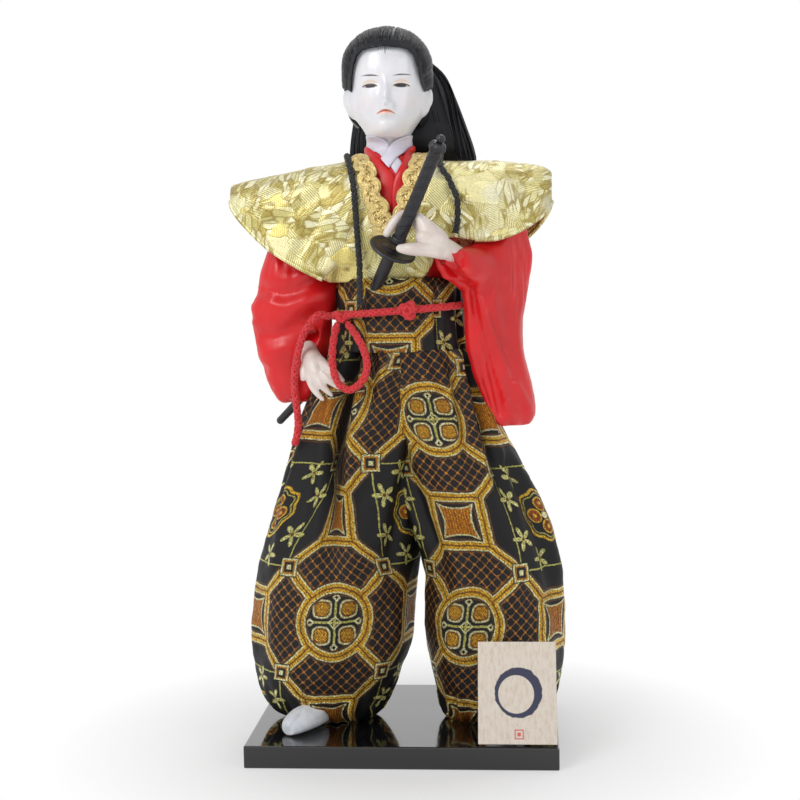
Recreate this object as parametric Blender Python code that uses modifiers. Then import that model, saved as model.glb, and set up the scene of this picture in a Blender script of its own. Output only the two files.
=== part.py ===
# A dressed warrior doll standing on a black board, with a small wooden sign.
# X runs to the doll's left, Y to its back, Z up; the board's underside is Z 0.
# Tables and sizes are in millimetres.
import math

import bmesh
import bpy
from mathutils import Vector
from mathutils.bvhtree import BVHTree

MM = 0.001
GAP = 0.3              # clear space between two pieces that touch

# board
BOARD_W, BOARD_D, BOARD_H = 125.0, 95.0, 9.1
BOARD_EDGE = 0.6
STAND_Z = BOARD_H + GAP

# sign
SIGN_W, SIGN_H, SIGN_T = 31.0, 40.0, 3.0
SIGN_X, SIGN_SET_BACK = 46.2, 0.5
SIGN_Y = SIGN_SET_BACK - BOARD_D / 2.0
SIGN_LEAN = 19.0

# leg wires, from the board up into the body
WIRE_R = 1.5
WIRE_X, WIRE_Y = 29.0, -2.0
WIRE_LOW, WIRE_IN, WIRE_HIGH = 3.1, 10.0, 174.0
WIRE_KNEE, WIRE_CURVE, WIRE_CURVE_X, WIRE_HIP = 60.0, 90.0, 25.0, 135.0
WIRE_STEP = 12.0

# trousers: Z, outer X, inner X, middle Y, half depth
HIP_Z = 164.0
TROUSER_R = (
    (STAND_Z, -50.0, -14.0, -2.0, 15.0), (13.0, -57.0, -9.5, -2.0, 20.0),
    (18.0, -61.3, -6.6, -1.5, 24.0), (27.0, -64.0, -3.0, -1.0, 27.5),
    (41.0, -65.1, 2.0, -1.0, 29.5), (58.0, -64.6, 3.6, 0.0, 30.0),
    (75.0, -62.1, 5.4, 0.0, 29.3), (100.0, -55.1, 9.0, 0.0, 27.5),
    (126.0, -46.5, 13.0, 0.0, 25.5), (146.0, -38.0, 17.0, 0.0, 23.0),
    (HIP_Z, -29.5, 22.0, 0.0, 21.0))
TROUSER_L = (
    (STAND_Z, 50.0, 16.0, -2.0, 15.0), (13.0, 57.5, 13.5, -2.0, 20.0),
    (18.0, 62.0, 12.2, -1.5, 24.0), (27.0, 64.8, 10.8, -1.0, 27.5),
    (43.0, 66.3, 7.8, -1.0, 29.5), (60.0, 66.0, 6.8, 0.0, 30.0),
    (75.0, 64.3, 6.8, 0.0, 29.3), (100.0, 56.3, -2.0, 0.0, 27.5),
    (126.0, 43.5, -8.0, 0.0, 25.5), (146.0, 35.0, -14.0, 0.0, 23.0),
    (HIP_Z, 28.2, -20.0, 0.0, 21.0))
GATHER = ((STAND_Z, 1.0), (16.0, 1.1), (30.0, 0.35), (60.0, 0.0), (85.0, 0.0),
          (110.0, 0.2), (135.0, 0.4), (HIP_Z, 0.5))
# main folds: top Z, low Z, degrees round the leg at the top and at the low end, depth
FOLD_TOP, FOLD_FADE = HIP_Z + 4.0, 6.0
FOLD_HALF = 8.5
FOLDS_R = ((FOLD_TOP, 76.0, -114.0, -84.0, 6.4), (FOLD_TOP, 60.0, -158.0, -150.0, 3.0),
           (FOLD_TOP, 84.0, 160.0, 150.0, 4.0), (FOLD_TOP, 66.0, 112.0, 106.0, 4.0),
           (120.0, 24.0, -46.0, -56.0, 2.0), (100.0, 20.0, 130.0, 128.0, 2.2),
           (100.0, 18.0, 176.0, 182.0, 2.0), (96.0, 16.0, -126.0, -120.0, 1.6))
FOLDS_L = ((FOLD_TOP, 82.0, -64.0, -49.0, 6.0), (FOLD_TOP, 60.0, 18.0, 26.0, 3.6),
           (FOLD_TOP, 66.0, 66.0, 72.0, 4.0), (130.0, 50.0, -136.0, -128.0, 2.2),
           (116.0, 30.0, -12.0, -10.0, 2.0), (92.0, 14.0, -96.0, -92.0, 1.5),
           (100.0, 18.0, 50.0, 54.0, 2.2))

# stacks: Z, middle X, middle Y, half width, half depth
WAISTBAND = ((HIP_Z + GAP, -0.6, 0.0, 28.6, 21.4), (HIP_Z + 8.0, -0.6, 0.0, 27.2, 21.5),
             (HIP_Z + 17.0, -0.6, 0.0, 26.5, 21.5), (HIP_Z + 27.3, -0.6, 0.0, 26.6, 21.3))
BODY = ((HIP_Z + GAP, -0.7, 0.0, 22.5, 16.0), (HIP_Z + 14.0, -0.7, 0.0, 22.3, 15.0),
        (HIP_Z + 27.0, -1.0, 0.0, 22.5, 13.5), (205.0, -2.0, 0.0, 25.0, 14.4),
        (220.0, -3.0, 0.0, 27.0, 14.6), (231.0, -4.0, 0.0, 26.0, 14.0),
        (238.0, -4.3, 0.5, 19.0, 12.6), (243.0, -4.5, 1.0, 11.4, 11.2),
        (249.4, -4.5, 1.5, 10.3, 10.6))
HEAD = ((242.0, -4.5, 2.0, 9.0, 9.0), (249.4, -4.5, 2.0, 8.9, 9.2),
        (250.6, -4.4, -1.2, 9.2, 12.4), (253.0, -4.3, -1.2, 11.2, 15.0),
        (257.5, -4.3, -0.4, 13.4, 16.6), (263.0, -4.4, 0.6, 15.4, 17.4),
        (270.0, -4.5, 1.6, 16.6, 18.2), (278.0, -4.6, 2.0, 16.8, 18.6),
        (285.0, -4.6, 2.4, 15.8, 17.6), (290.0, -4.6, 2.6, 12.8, 14.4),
        (293.0, -4.6, 2.8, 8.0, 9.0), (294.2, -4.6, 2.8, 2.4, 2.6))
HAIR = ((256.0, -4.6, 10.0, 13.6, 10.5), (260.0, -4.6, 8.0, 16.6, 14.0),
        (266.0, -4.6, 4.6, 18.2, 18.0), (272.0, -4.6, 2.6, 18.6, 20.4),
        (280.0, -4.7, 2.4, 18.7, 21.2), (286.0, -4.8, 2.8, 17.6, 20.2),
        (291.0, -4.8, 3.2, 14.2, 16.6), (294.6, -4.7, 3.4, 9.4, 11.2),
        (296.4, -4.6, 3.4, 3.0, 3.4))
TAIL_HAIR = ((190.0, 2.0, 24.4, 9.0, 1.8), (205.0, 2.0, 26.0, 19.0, 3.0),
             (225.0, 3.0, 27.6, 24.6, 4.0), (241.0, 3.8, 28.6, 26.4, 4.8),
             (248.0, 3.4, 27.4, 26.0, 7.0), (258.0, 2.4, 27.0, 23.8, 8.0),
             (270.0, 1.4, 28.0, 20.4, 7.4), (280.0, 0.4, 27.6, 17.0, 6.6),
             (287.0, -1.4, 25.6, 11.0, 5.4), (292.0, -3.0, 23.0, 6.6, 4.2),
             (294.4, -3.6, 21.0, 3.2, 2.4))
NOSE = (263.6, 2.8, 3.2, 4.4)          # Z, reach, half width, half height
EAR = (267.4, 1.7, 3.0, 4.4)           # Z and half sizes
EAR_AT = ((-21.6, 1.0), (12.6, 1.0))   # X and Y of each ear
FACE_TOP, FACE_HALF, FACE_BACK = 286.2, 14.2, -3.4

# sleeves: Z, middle X, middle Y, half length, half thickness, turn in degrees
SLEEVE_R = ((143.2, -44.2, 3.0, 9.0, 2.2, 6.0), (147.0, -45.4, 3.0, 11.4, 4.6, 6.0),
            (160.0, -46.4, 2.5, 15.3, 7.6, 6.0), (177.0, -46.9, 2.0, 17.2, 9.2, 6.0),
            (190.0, -45.2, 1.5, 16.2, 9.8, 5.0), (203.0, -44.2, 1.5, 13.6, 9.6, 4.0),
            (216.0, -42.0, 1.5, 10.4, 8.6, 0.0), (227.0, -38.6, 1.0, 7.0, 5.6, 0.0),
            (231.0, -37.6, 1.0, 3.0, 2.4, 0.0))
SLEEVE_L = ((132.6, 44.6, -5.0, 7.6, 1.8, 36.0), (137.0, 43.0, -6.0, 12.2, 3.4, 36.0),
            (147.0, 41.2, -7.0, 13.6, 4.8, 36.0), (165.0, 37.0, -9.0, 13.6, 6.0, 36.0),
            (178.0, 37.0, -9.5, 14.0, 6.8, 37.0), (188.0, 37.6, -10.0, 16.6, 7.6, 37.0),
            (196.0, 35.6, -11.8, 22.4, 8.0, 37.0), (203.0, 34.8, -12.6, 24.0, 7.4, 37.0),
            (206.6, 37.4, -9.4, 19.0, 6.4, 35.0), (209.0, 41.4, -2.6, 11.6, 7.6, 16.0),
            (216.0, 41.4, -1.0, 10.4, 7.6, 8.0), (224.0, 39.4, -0.4, 8.0, 6.4, 4.0),
            (230.0, 36.6, 0.0, 4.0, 3.2, 0.0))
SLEEVE_FOLD, FOLD_START, FOLD_GROW = 0.7, 212.0, 40.0

# vest, by X: top Z, front hem Z, back hem Z, half depth
VEST_T = 1.6
VEST = ((-71.0, 233.0, 225.6, 225.6, 4.6), (-68.5, 234.0, 221.5, 221.5, 7.6),
        (-61.0, 235.6, 213.0, 213.0, 11.0), (-52.9, 237.0, 205.6, 206.5, 14.0),
        (-41.0, 239.2, 198.2, 199.0, 16.8), (-29.5, 241.2, 192.2, 193.0, 18.0),
        (-24.0, 242.0, 191.7, 191.7, 18.4), (-10.0, 244.0, 191.7, 191.7, 18.6),
        (0.0, 244.0, 191.7, 191.7, 18.6), (9.0, 243.0, 191.7, 191.7, 18.6),
        (14.0, 242.2, 199.0, 191.7, 18.6), (19.0, 241.6, 208.0, 191.9, 18.6),
        (24.0, 241.2, 208.6, 193.0, 18.4), (31.0, 241.0, 208.0, 197.0, 18.0),
        (40.0, 240.8, 208.4, 202.0, 16.8),
        (49.0, 240.2, 211.6, 207.0, 14.6), (56.0, 239.2, 216.0, 213.0, 11.6),
        (60.6, 237.4, 220.0, 219.0, 8.6), (62.6, 235.6, 223.0, 223.0, 5.2))
VEST_ROUND = 15.0
VEST_WAIST = (17.6, 30.0)              # half depth and half width at the hem
VEST_MIDDLE_Y = 1.0
NECK_HOLE = (-4.4, 2.0, 12.9, 12.4, 234.0)
NECK_HOLE_TOP = 262.0
OPENING = ((-14.8, 252.0), (8.8, 252.0), (0.2, 213.0), (-2.4, 213.0))

# collars and braids: X, Y, Z of guide points, from one front end round the neck
COLLAR_T = 1.0
WHITE_COLLAR = ((-4.9, -18.0, 243.2), (-8.6, -14.0, 245.0), (-13.4, -6.0, 247.0),
                (-16.0, 2.0, 247.4), (-12.0, 11.0, 247.4), (-4.5, 15.0, 247.4),
                (3.0, 11.0, 247.4), (7.0, 2.0, 247.4), (4.4, -6.0, 247.0),
                (0.0, -14.0, 245.0), (-3.1, -18.0, 243.2))
RED_COLLAR = ((-3.6, -20.0, 216.5), (-6.2, -20.0, 226.0), (-9.4, -18.0, 235.0),
              (-12.6, -9.0, 242.0), (-17.0, 2.0, 243.8), (-13.0, 12.0, 243.8),
              (-4.5, 16.0, 243.8), (4.0, 12.0, 243.8), (8.0, 2.0, 243.8),
              (4.0, -9.0, 242.0), (1.4, -18.0, 235.0), (0.0, -20.0, 226.0),
              (-0.4, -20.0, 217.5))
WHITE_W, RED_W = 2.8, 4.0
BRAID_W, BRAID_T = 4.6, 1.9
BRAID_R = ((-4.8, -25.0, 210.0), (-6.4, -25.0, 217.0), (-9.8, -24.0, 228.0),
           (-13.2, -20.0, 238.0), (-17.2, -9.0, 246.0), (-20.4, 2.0, 248.0),
           (-18.4, 12.0, 247.0), (-12.0, 19.4, 245.0), (-6.6, 22.0, 243.0))
BRAID_L = ((2.2, -25.0, 213.6), (2.8, -25.0, 217.0), (4.8, -24.0, 228.0),
           (7.6, -20.0, 238.0), (10.0, -9.0, 245.6), (12.2, 2.0, 247.4),
           (10.2, 12.0, 246.6), (3.4, 19.4, 245.0), (-2.4, 22.0, 243.0))

# sword: X, Y, Z along its middle line
HILT = ((17.8, -48.6, 241.8), (9.7, -39.4, 225.1), (1.1, -30.6, 207.8))
SAYA = ((-1.5, -28.4, 204.0), (-4.9, -23.8, 197.5), (-8.3, -19.4, 191.3),
        (-12.6, -15.4, 184.6), (-17.0, -11.6, 178.1), (-22.6, -6.8, 170.6),
        (-28.3, -1.8, 163.1), (-34.1, 2.6, 155.6), (-39.9, 7.0, 148.0),
        (-47.1, 11.6, 140.5), (-54.5, 15.6, 133.2))
HILT_R, SAYA_R = 2.6, 1.75
BEAD_R = 1.7
GUARD_R, GUARD_T = 9.4, 1.2

# hands: each row is X, Y, Z and a radius; fingers are X, Y, Z pairs
PALM_R = ((-39.0, -3.0, 171.5, 3.6), (-37.4, -8.4, 165.0, 4.0),
          (-34.8, -14.0, 158.4, 5.2), (-33.4, -17.0, 153.2, 4.8))
FINGERS_R = (((-35.8, -17.2, 153.6), (-34.4, -18.4, 149.2), (-32.4, -18.6, 145.4)),
             ((-33.4, -17.8, 153.8), (-31.2, -19.6, 150.2), (-28.7, -19.8, 147.0)),
             ((-31.6, -17.8, 155.0), (-28.8, -20.6, 152.4), (-26.1, -21.0, 150.2)),
             ((-31.2, -17.0, 157.0), (-27.4, -20.6, 155.2), (-23.7, -21.4, 153.4)),
             ((-37.4, -12.6, 158.6), (-39.4, -15.6, 155.6), (-39.4, -17.4, 152.0)))
PALM_L = ((24.6, -26.0, 202.4, 3.6), (19.6, -31.0, 204.8, 4.0),
          (13.4, -34.8, 208.4, 5.9), (10.2, -35.6, 211.0, 5.4))
FINGERS_L = (((11.6, -34.6, 214.4), (5.4, -28.8, 217.6), (0.6, -29.0, 217.2)),
             ((11.0, -34.4, 212.4), (3.8, -27.8, 214.6), (-3.0, -28.4, 214.6)),
             ((10.6, -34.4, 210.0), (2.8, -27.0, 211.4), (-3.6, -27.8, 211.8)),
             ((10.5, -36.0, 208.4), (5.0, -36.8, 207.4), (0.4, -35.6, 207.4)),
             ((11.5, -36.6, 211.5), (7.0, -39.6, 214.6), (4.6, -40.0, 217.4)))
FINGER_R = 1.35

# feet: distance back from the toe, half width, height
FOOT = ((0.0, 2.4, 4.0), (2.0, 5.0, 6.6), (6.0, 6.6, 8.6), (13.0, 7.0, 10.4),
        (21.0, 6.0, 14.0), (29.0, 5.6, 18.0), (36.0, 4.8, 19.0), (39.0, 2.4, 17.0))
TOE_R, TOE_L = (-46.5, -34.0), (46.0, -32.0)
TOE_TURN = 30.0

# red cord
CORD_R = 1.5
RING_Z, RING_TILT = 180.2, 1.9
KNOT = (4.0, 180.4, 4.6, 3.1, 4.4)     # X, Z and half sizes
SIDE_KNOT = (-23.4, 178.2, 4.8, 2.8, 2.8)
TAIL = ((-28.55, -15.0, 178.3), (-33.3, -17.4, 178.7), (-38.4, -17.0, 172.6),
        (-41.4, -15.6, 165.1), (-43.0, -16.0, 156.9), (-43.4, -16.4, 149.8),
        (-42.6, -17.0, 142.0), (-42.0, -17.6, 135.1), (-42.6, -18.0, 129.5),
        (-43.6, -18.4, 125.9))
LOOP = ((-25.4, -15.6, 175.1), (-26.6, -19.6, 168.4), (-26.8, -23.0, 159.3),
        (-24.6, -25.6, 152.3), (-20.8, -26.4, 148.9), (-15.8, -26.6, 151.0),
        (-12.6, -26.4, 156.5), (-13.3, -25.6, 163.7), (-16.6, -22.8, 169.9),
        (-21.0, -16.0, 175.0))

# black cord round the neck
NECK_CORD_R = 1.25
NECK_CORD = ((-15.7, -24.0, 193.6), (-15.7, -24.0, 201.0), (-16.7, -24.0, 217.7),
             (-18.6, -22.0, 232.0), (-22.0, -13.0, 240.0), (-25.0, -1.0, 246.0),
             (-23.0, 11.0, 244.0), (-12.0, 24.0, 234.0), (-3.0, 25.0, 232.6),
             (7.0, 24.0, 234.0), (15.4, 12.0, 243.0), (17.2, -1.0, 246.0),
             (17.6, -13.0, 240.0), (21.6, -22.0, 233.0), (24.4, -24.0, 225.0),
             (24.6, -24.0, 217.0), (23.6, -24.0, 211.0))

COLOURS = {
    "lacquer": ((0.006, 0.006, 0.007), 0.12, 0.0),
    "wire": ((0.45, 0.45, 0.47), 0.35, 1.0),
    "brocade": ((0.05, 0.03, 0.02), 0.55, 0.0),
    "satin": ((0.6, 0.015, 0.02), 0.35, 0.0),
    "gold_cloth": ((0.62, 0.56, 0.26), 0.4, 0.0),
    "gold_braid": ((0.7, 0.5, 0.2), 0.4, 0.0),
    "white_cloth": ((0.8, 0.8, 0.82), 0.7, 0.0),
    "skin": ((0.78, 0.79, 0.82), 0.35, 0.0),
    "hair": ((0.01, 0.01, 0.012), 0.4, 0.0),
    "black_plastic": ((0.015, 0.015, 0.016), 0.35, 0.0),
    "black_cord": ((0.012, 0.012, 0.014), 0.75, 0.0),
    "red_cord": ((0.6, 0.02, 0.03), 0.65, 0.0),
    "pale_wood": ((0.68, 0.55, 0.38), 0.6, 0.0),
}

for old in list(bpy.data.objects):
    bpy.data.objects.remove(old, do_unlink=True)
parts = bpy.data.collections.new("samurai_doll")
cutters = bpy.data.collections.new("cutters")
for group in (parts, cutters):
    bpy.context.scene.collection.children.link(group)


def smoothstep(value):
    value = min(max(value, 0.0), 1.0)
    return value * value * (3.0 - 2.0 * value)


# Rows of numbers resampled along a smooth curve through them.
def smoothRows(rows, count):
    spans = len(rows) - 1
    out = []
    for i in range(count + 1):
        place = i * spans / count
        k = min(int(place), spans - 1)
        t = place - k
        pick = [rows[min(max(k + j, 0), spans)] for j in (-1, 0, 1, 2)]
        row = []
        for a, b, c, d in zip(*pick):
            row.append(0.5 * (2.0 * b + (c - a) * t + (2.0 * a - 5.0 * b + 4.0 * c - d) * t * t
                              + (3.0 * b - a - 3.0 * c + d) * t ** 3))
        out.append(tuple(row))
    return out


# Value at a place in a table whose first column rises.
def between(table, place, column=1):
    if place <= table[0][0]:
        return table[0][column]
    for low, high in zip(table, table[1:]):
        if place <= high[0]:
            t = (place - low[0]) / (high[0] - low[0])
            return low[column] + (high[column] - low[column]) * t
    return table[-1][column]


def addObject(name, data, group):
    obj = bpy.data.objects.new(name, data)
    group.objects.link(obj)
    if group is cutters:
        obj.hide_render = True
        obj.display_type = "WIRE"
    return obj


# Rings of points joined into one closed skin, with a flat cap on each end.
def loft(name, rings, group=cutters):
    n = len(rings[0])
    points = [Vector(p) * MM for ring in rings for p in ring]
    faces = []
    for i in range(len(rings) - 1):
        a, b = i * n, (i + 1) * n
        for j in range(n):
            k = (j + 1) % n
            faces.append((a + j, a + k, b + k, b + j))
    faces.append(tuple(reversed(range(n))))
    faces.append(tuple(range((len(rings) - 1) * n, len(rings) * n)))
    mesh = bpy.data.meshes.new(name)
    mesh.from_pydata(points, [], faces)
    mesh.validate()
    mesh.update()
    volume = sum(p.area * p.normal.dot(p.center) for p in mesh.polygons)
    if volume < 0.0:
        mesh.flip_normals()
    for face in mesh.polygons:
        face.use_smooth = len(face.vertices) == 4
    return addObject(name, mesh, group)


def oval(z, x, y, half_x, half_y, turn=0.0, count=28, shape=None):
    ring = []
    for j in range(count):
        angle = 2.0 * math.pi * j / count
        u, v = half_x * math.cos(angle), half_y * math.sin(angle)
        if shape:
            u, v = shape(angle, u, v)
        c, s = math.cos(math.radians(turn)), math.sin(math.radians(turn))
        ring.append((x + u * c - v * s, y + u * s + v * c, z))
    return ring


# A stack of ovals grown on every side, for a piece or for the space kept round it.
def stack(name, rows, group=cutters, grow=0.0, steps=2, count=28, shape=None):
    rows = smoothRows(rows, steps * (len(rows) - 1))
    rings = []
    for i, row in enumerate(rows):
        z = row[0] + (-grow if i == 0 else grow if i == len(rows) - 1 else 0.0)
        turn = row[5] if len(row) > 5 else 0.0
        bend = (lambda angle, u, v, z=z: shape(angle, u, v, z)) if shape else None
        rings.append(oval(z, row[1], row[2], row[3] + grow, row[4] + grow, turn, count, bend))
    return loft(name, rings, group)


# A round bar of changing radius along a row of points, capped flat.
def tube(name, path, radius, group=cutters, count=12, squash=1.0, side=None):
    path = [Vector(p) for p in path]
    rings = []
    n = len(path)
    for i, point in enumerate(path):
        along = path[min(i + 1, n - 1)] - path[max(i - 1, 0)]
        along.normalize()
        side = Vector(side) if side else along.orthogonal()
        side = (side - along * side.dot(along)).normalized()
        other = along.cross(side)
        r = radius[i] if isinstance(radius, (list, tuple)) else radius
        rings.append([point + side * (r * math.cos(a)) + other * (r * squash * math.sin(a))
                      for a in (2.0 * math.pi * j / count for j in range(count))])
    return loft(name, rings, group)


# A cord as a bevelled poly line, made into a mesh.
def cord(name, path, radius, group, closed=False):
    curve = bpy.data.curves.new(name, "CURVE")
    curve.dimensions = "3D"
    curve.bevel_depth = radius * MM
    curve.bevel_resolution = 2
    curve.use_fill_caps = not closed
    line = curve.splines.new("POLY")
    line.points.add(len(path) - 1)
    for target, point in zip(line.points, path):
        target.co = (point[0] * MM, point[1] * MM, point[2] * MM, 1.0)
    line.use_cyclic_u = closed
    draft = bpy.data.objects.new(name + "_line", curve)
    bpy.context.scene.collection.objects.link(draft)
    bpy.context.view_layer.update()
    graph = bpy.context.evaluated_depsgraph_get()
    mesh = bpy.data.meshes.new_from_object(draft.evaluated_get(graph))
    bpy.data.objects.remove(draft, do_unlink=True)
    welded = bmesh.new()
    welded.from_mesh(mesh)
    bmesh.ops.remove_doubles(welded, verts=welded.verts, dist=0.00001)
    welded.to_mesh(mesh)
    welded.free()
    for face in mesh.polygons:
        face.use_smooth = len(face.vertices) == 4
    return addObject(name, mesh, group)


def boolean(obj, other, operation="DIFFERENCE"):
    step = obj.modifiers.new(other.name, "BOOLEAN")
    step.operation = operation
    step.solver = "EXACT"
    step.object = other
    return obj


def surfaceOf(obj):
    bpy.context.view_layer.update()
    return BVHTree.FromObject(obj, bpy.context.evaluated_depsgraph_get())


# The point at a height above the nearest place on a surface.
def lay(surface, point, height):
    place, normal, _, _ = surface.find_nearest(Vector(point) * MM)
    return (place + normal * height * MM) / MM


def isInside(surface, point):
    aim = Vector((0.36, -0.8, 0.48))
    start, hits = Vector(point) * MM, 0
    while True:
        place = surface.ray_cast(start, aim)[0]
        if place is None:
            return hits % 2 == 1
        hits += 1
        start = place + aim * 0.01 * MM


# Points moved away from surfaces until a bar of this radius clears them.
def clearOf(surfaces, path, radius):
    out = []
    for point in path:
        spot = Vector(point)
        for _ in range(4):
            for surface in surfaces:
                place, normal, _, gap = surface.find_nearest(spot * MM)
                away = spot - place / MM
                if isInside(surface, spot):
                    away = -away
                elif gap / MM >= radius + GAP:
                    continue
                away = away.normalized() if away.length > 0.01 else normal
                spot = place / MM + away * (radius + GAP + 0.05)
        out.append(spot)
    return out


# Points spaced evenly along a path.
def evenly(path, step):
    path = [Vector(p) for p in path]
    marks = [0.0]
    for a, b in zip(path, path[1:]):
        marks.append(marks[-1] + (b - a).length)
    count = max(2, round(marks[-1] / step))
    out = []
    for i in range(count + 1):
        goal = marks[-1] * i / count
        k = max(j for j in range(len(marks) - 1) if marks[j] <= goal + 1e-9)
        t = (goal - marks[k]) / (marks[k + 1] - marks[k])
        out.append(path[k].lerp(path[k + 1], t))
    return out


# A flat band of cloth lying on a surface along guide points.
def band(name, surface, guide, width, thick, group=parts, low_z=GAP, step=3.4, across=3):
    path = evenly(smoothRows(guide, 12 * len(guide)), step)
    path = [lay(surface, p, 0.0) for p in path]
    rings = []
    n = len(path)
    for i, point in enumerate(path):
        along = (path[min(i + 1, n - 1)] - path[max(i - 1, 0)]).normalized()
        normal = surface.find_nearest(point * MM)[1]
        side = along.cross(normal).normalized()
        low, high = [], []
        for j in range(across):
            offset = (j / (across - 1) - 0.5) * width
            base = point + side * offset
            low.append(lay(surface, base, low_z))
            bulge = thick * (1.0 - 0.35 * abs(2.0 * j / (across - 1) - 1.0) ** 2)
            high.append(lay(surface, base, GAP + bulge))
        rings.append(low + high[::-1])
    return loft(name, rings, group)


def ball(name, centre, halves, group=cutters, count=24):
    rings = []
    levels = count // 2
    for i in range(1, levels):
        a = math.pi * i / levels
        rings.append(oval(centre[2] - halves[2] * math.cos(a), centre[0], centre[1],
                          halves[0] * math.sin(a), halves[1] * math.sin(a), 0.0, count))
    return loft(name, rings, group)


def slab(name, sizes, centre, edge=0.0, group=parts):
    bpy.ops.mesh.primitive_cube_add(size=1.0)
    obj = bpy.context.object
    obj.name = obj.data.name = name
    for holder in list(obj.users_collection):
        holder.objects.unlink(obj)
    group.objects.link(obj)
    for vertex in obj.data.vertices:
        vertex.co = Vector([c * s + m for c, s, m in zip(vertex.co, sizes, centre)]) * MM
    if edge:
        bevel = obj.modifiers.new("edge", "BEVEL")
        bevel.width = edge * MM
        bevel.segments = 2
    return obj


def legWire(name, side, group, radius, extra=0.0):
    path = [(side * WIRE_X, WIRE_Y, WIRE_LOW - extra), (side * WIRE_X, WIRE_Y, WIRE_KNEE),
            (side * WIRE_CURVE_X, WIRE_Y * 0.6, WIRE_CURVE), (side * WIRE_IN, 0.0, WIRE_HIP),
            (side * WIRE_IN, 0.0, WIRE_HIGH + extra)]
    smooth = evenly(smoothRows(path, 40), WIRE_STEP)
    return tube(name, smooth, radius, group, 10)


board = slab("base_board", (BOARD_W, BOARD_D, BOARD_H), (0.0, 0.0, BOARD_H / 2.0), BOARD_EDGE)
wires = {}
for tag, side in (("right", -1.0), ("left", 1.0)):
    legWire("leg_wire_" + tag, side, parts, WIRE_R)
    wires[tag] = legWire("wire_space_" + tag, side, cutters, WIRE_R + GAP, GAP)
    boolean(board, wires[tag])


# A foot in a split-toe sock, flat underneath, from the toe back to the ankle.
def foot(name, toe, side, group, grow=0.0):
    turn = math.radians(TOE_TURN) * side
    back = Vector((-math.sin(turn), math.cos(turn), 0.0))
    across = Vector((math.cos(turn), math.sin(turn), 0.0))
    rows = smoothRows(FOOT, 12)
    rings = []
    for i, (along, half, high) in enumerate(rows):
        along += -grow if i == 0 else grow if i == len(rows) - 1 else 0.0
        base = Vector((toe[0], toe[1], STAND_Z - grow)) + back * along
        ring = []
        for j in range(16):
            a = 2.0 * math.pi * j / 16
            lift = math.sin(a)
            rise = (high + 2.0 * grow) * (0.36 + 0.64 * lift if lift > 0 else 0.36 + 0.36 * lift)
            ring.append(base + across * ((half + grow) * math.cos(a)) + Vector((0, 0, rise)))
        rings.append(ring)
    return loft(name, rings, group)


feet = {}
for tag, toe, side in (("right", TOE_R, -1.0), ("left", TOE_L, 1.0)):
    boolean(foot("foot_" + tag, toe, side, parts), wires[tag])
    feet[tag] = foot("foot_space_" + tag, toe, side, cutters, GAP)


# How deep the folds are at a place round a leg; their banks stand a little proud.
def foldDepth(folds, degrees, z):
    dent = 0.0
    for top, low, place_top, place_low, depth in folds:
        rise = (z - low) / (top - low)
        place = place_low + (place_top - place_low) * min(max(rise, 0.0), 1.0)
        off = (degrees - place + 180.0) % 360.0 - 180.0
        size = smoothstep(rise * 1.6) * smoothstep((top + FOLD_FADE - z) / FOLD_FADE)
        bank = (abs(off) - 1.9 * FOLD_HALF) / (0.9 * FOLD_HALF)
        dent += depth * size * (math.exp(-(off / FOLD_HALF) ** 2) - 0.34 * math.exp(-bank ** 2))
    return dent


# One trouser leg with its main folds and soft gathers at the hem.
def trouserLeg(name, rows, folds, grow=0.0, group=cutters):
    rings = []
    for z, outer, inner, y, depth in smoothRows(rows, 20):
        middle, half = (outer + inner) / 2.0, abs(outer - inner) / 2.0
        soft = between(GATHER, z)

        def pleats(angle, u, v):
            size = math.hypot(u, v)
            dent = soft * (0.5 - 0.5 * math.cos(11.0 * angle + z * 0.012))
            dent += foldDepth(folds, math.degrees(angle), z)
            factor = (size - dent) / size
            return u * factor, v * factor

        rings.append(oval(z, middle, y, half + grow, depth + grow, 0.0, 52, pleats))
    return loft(name, rings, group)


saya_path = smoothRows(SAYA, 16)
saya_ends = [Vector(a) + (Vector(a) - Vector(b)).normalized() * GAP
             for a, b in ((saya_path[0], saya_path[1]), (saya_path[-1], saya_path[-2]))]
saya_space = tube("saya_space", [saya_ends[0]] + saya_path[1:-1] + [saya_ends[1]], SAYA_R + GAP)
trousers = trouserLeg("trousers", TROUSER_R, FOLDS_R, 0.0, parts)
boolean(trousers, trouserLeg("left_leg", TROUSER_L, FOLDS_L), "UNION")
for space in (wires["left"], wires["right"], saya_space, feet["right"], feet["left"]):
    boolean(trousers, space)

body = stack("under_robe", BODY, parts)
body_space = stack("robe_space", BODY, grow=GAP)
body_surface = surfaceOf(body)
for space in (wires["right"], wires["left"], saya_space):
    boolean(body, space)
waistband = stack("waistband", WAISTBAND, parts, count=40)
for space in (body_space, saya_space):
    boolean(waistband, space)


# Half depth of the vest at a place, drawn in towards the waist.
def vestDepth(x, z, top, half, inward):
    rise = min(max((top - z) / VEST_ROUND, 0.0), 1.0)
    shoulder = half * math.sqrt(1.0 - (1.0 - rise) ** 2)
    inside = 1.0 - (x / VEST_WAIST[1]) ** 2
    waist = VEST_WAIST[0] * math.sqrt(inside) if inside > 0.0 else 0.0
    blend = smoothstep((z - VEST[8][2]) / 15.0 + max(0.0, abs(x) - 22.0) / 11.0)
    return max(min(shoulder, shoulder * blend + waist * (1.0 - blend)) - inward, 0.15)


def vestSheet(x, top, hem, half, sign, inward):
    top -= inward
    points = []
    arc = min(VEST_ROUND, 0.7 * (top - hem))
    for k in range(1, 5):
        points.append(top - arc * (1.0 - math.cos(math.pi / 2.0 * k / 4.0)))
    for k in range(1, 6):
        points.append(top - arc - (top - arc - hem) * k / 5.0)
    return [(x, VEST_MIDDLE_Y + sign * vestDepth(x, z, top, half, inward), z) for z in points]


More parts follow.
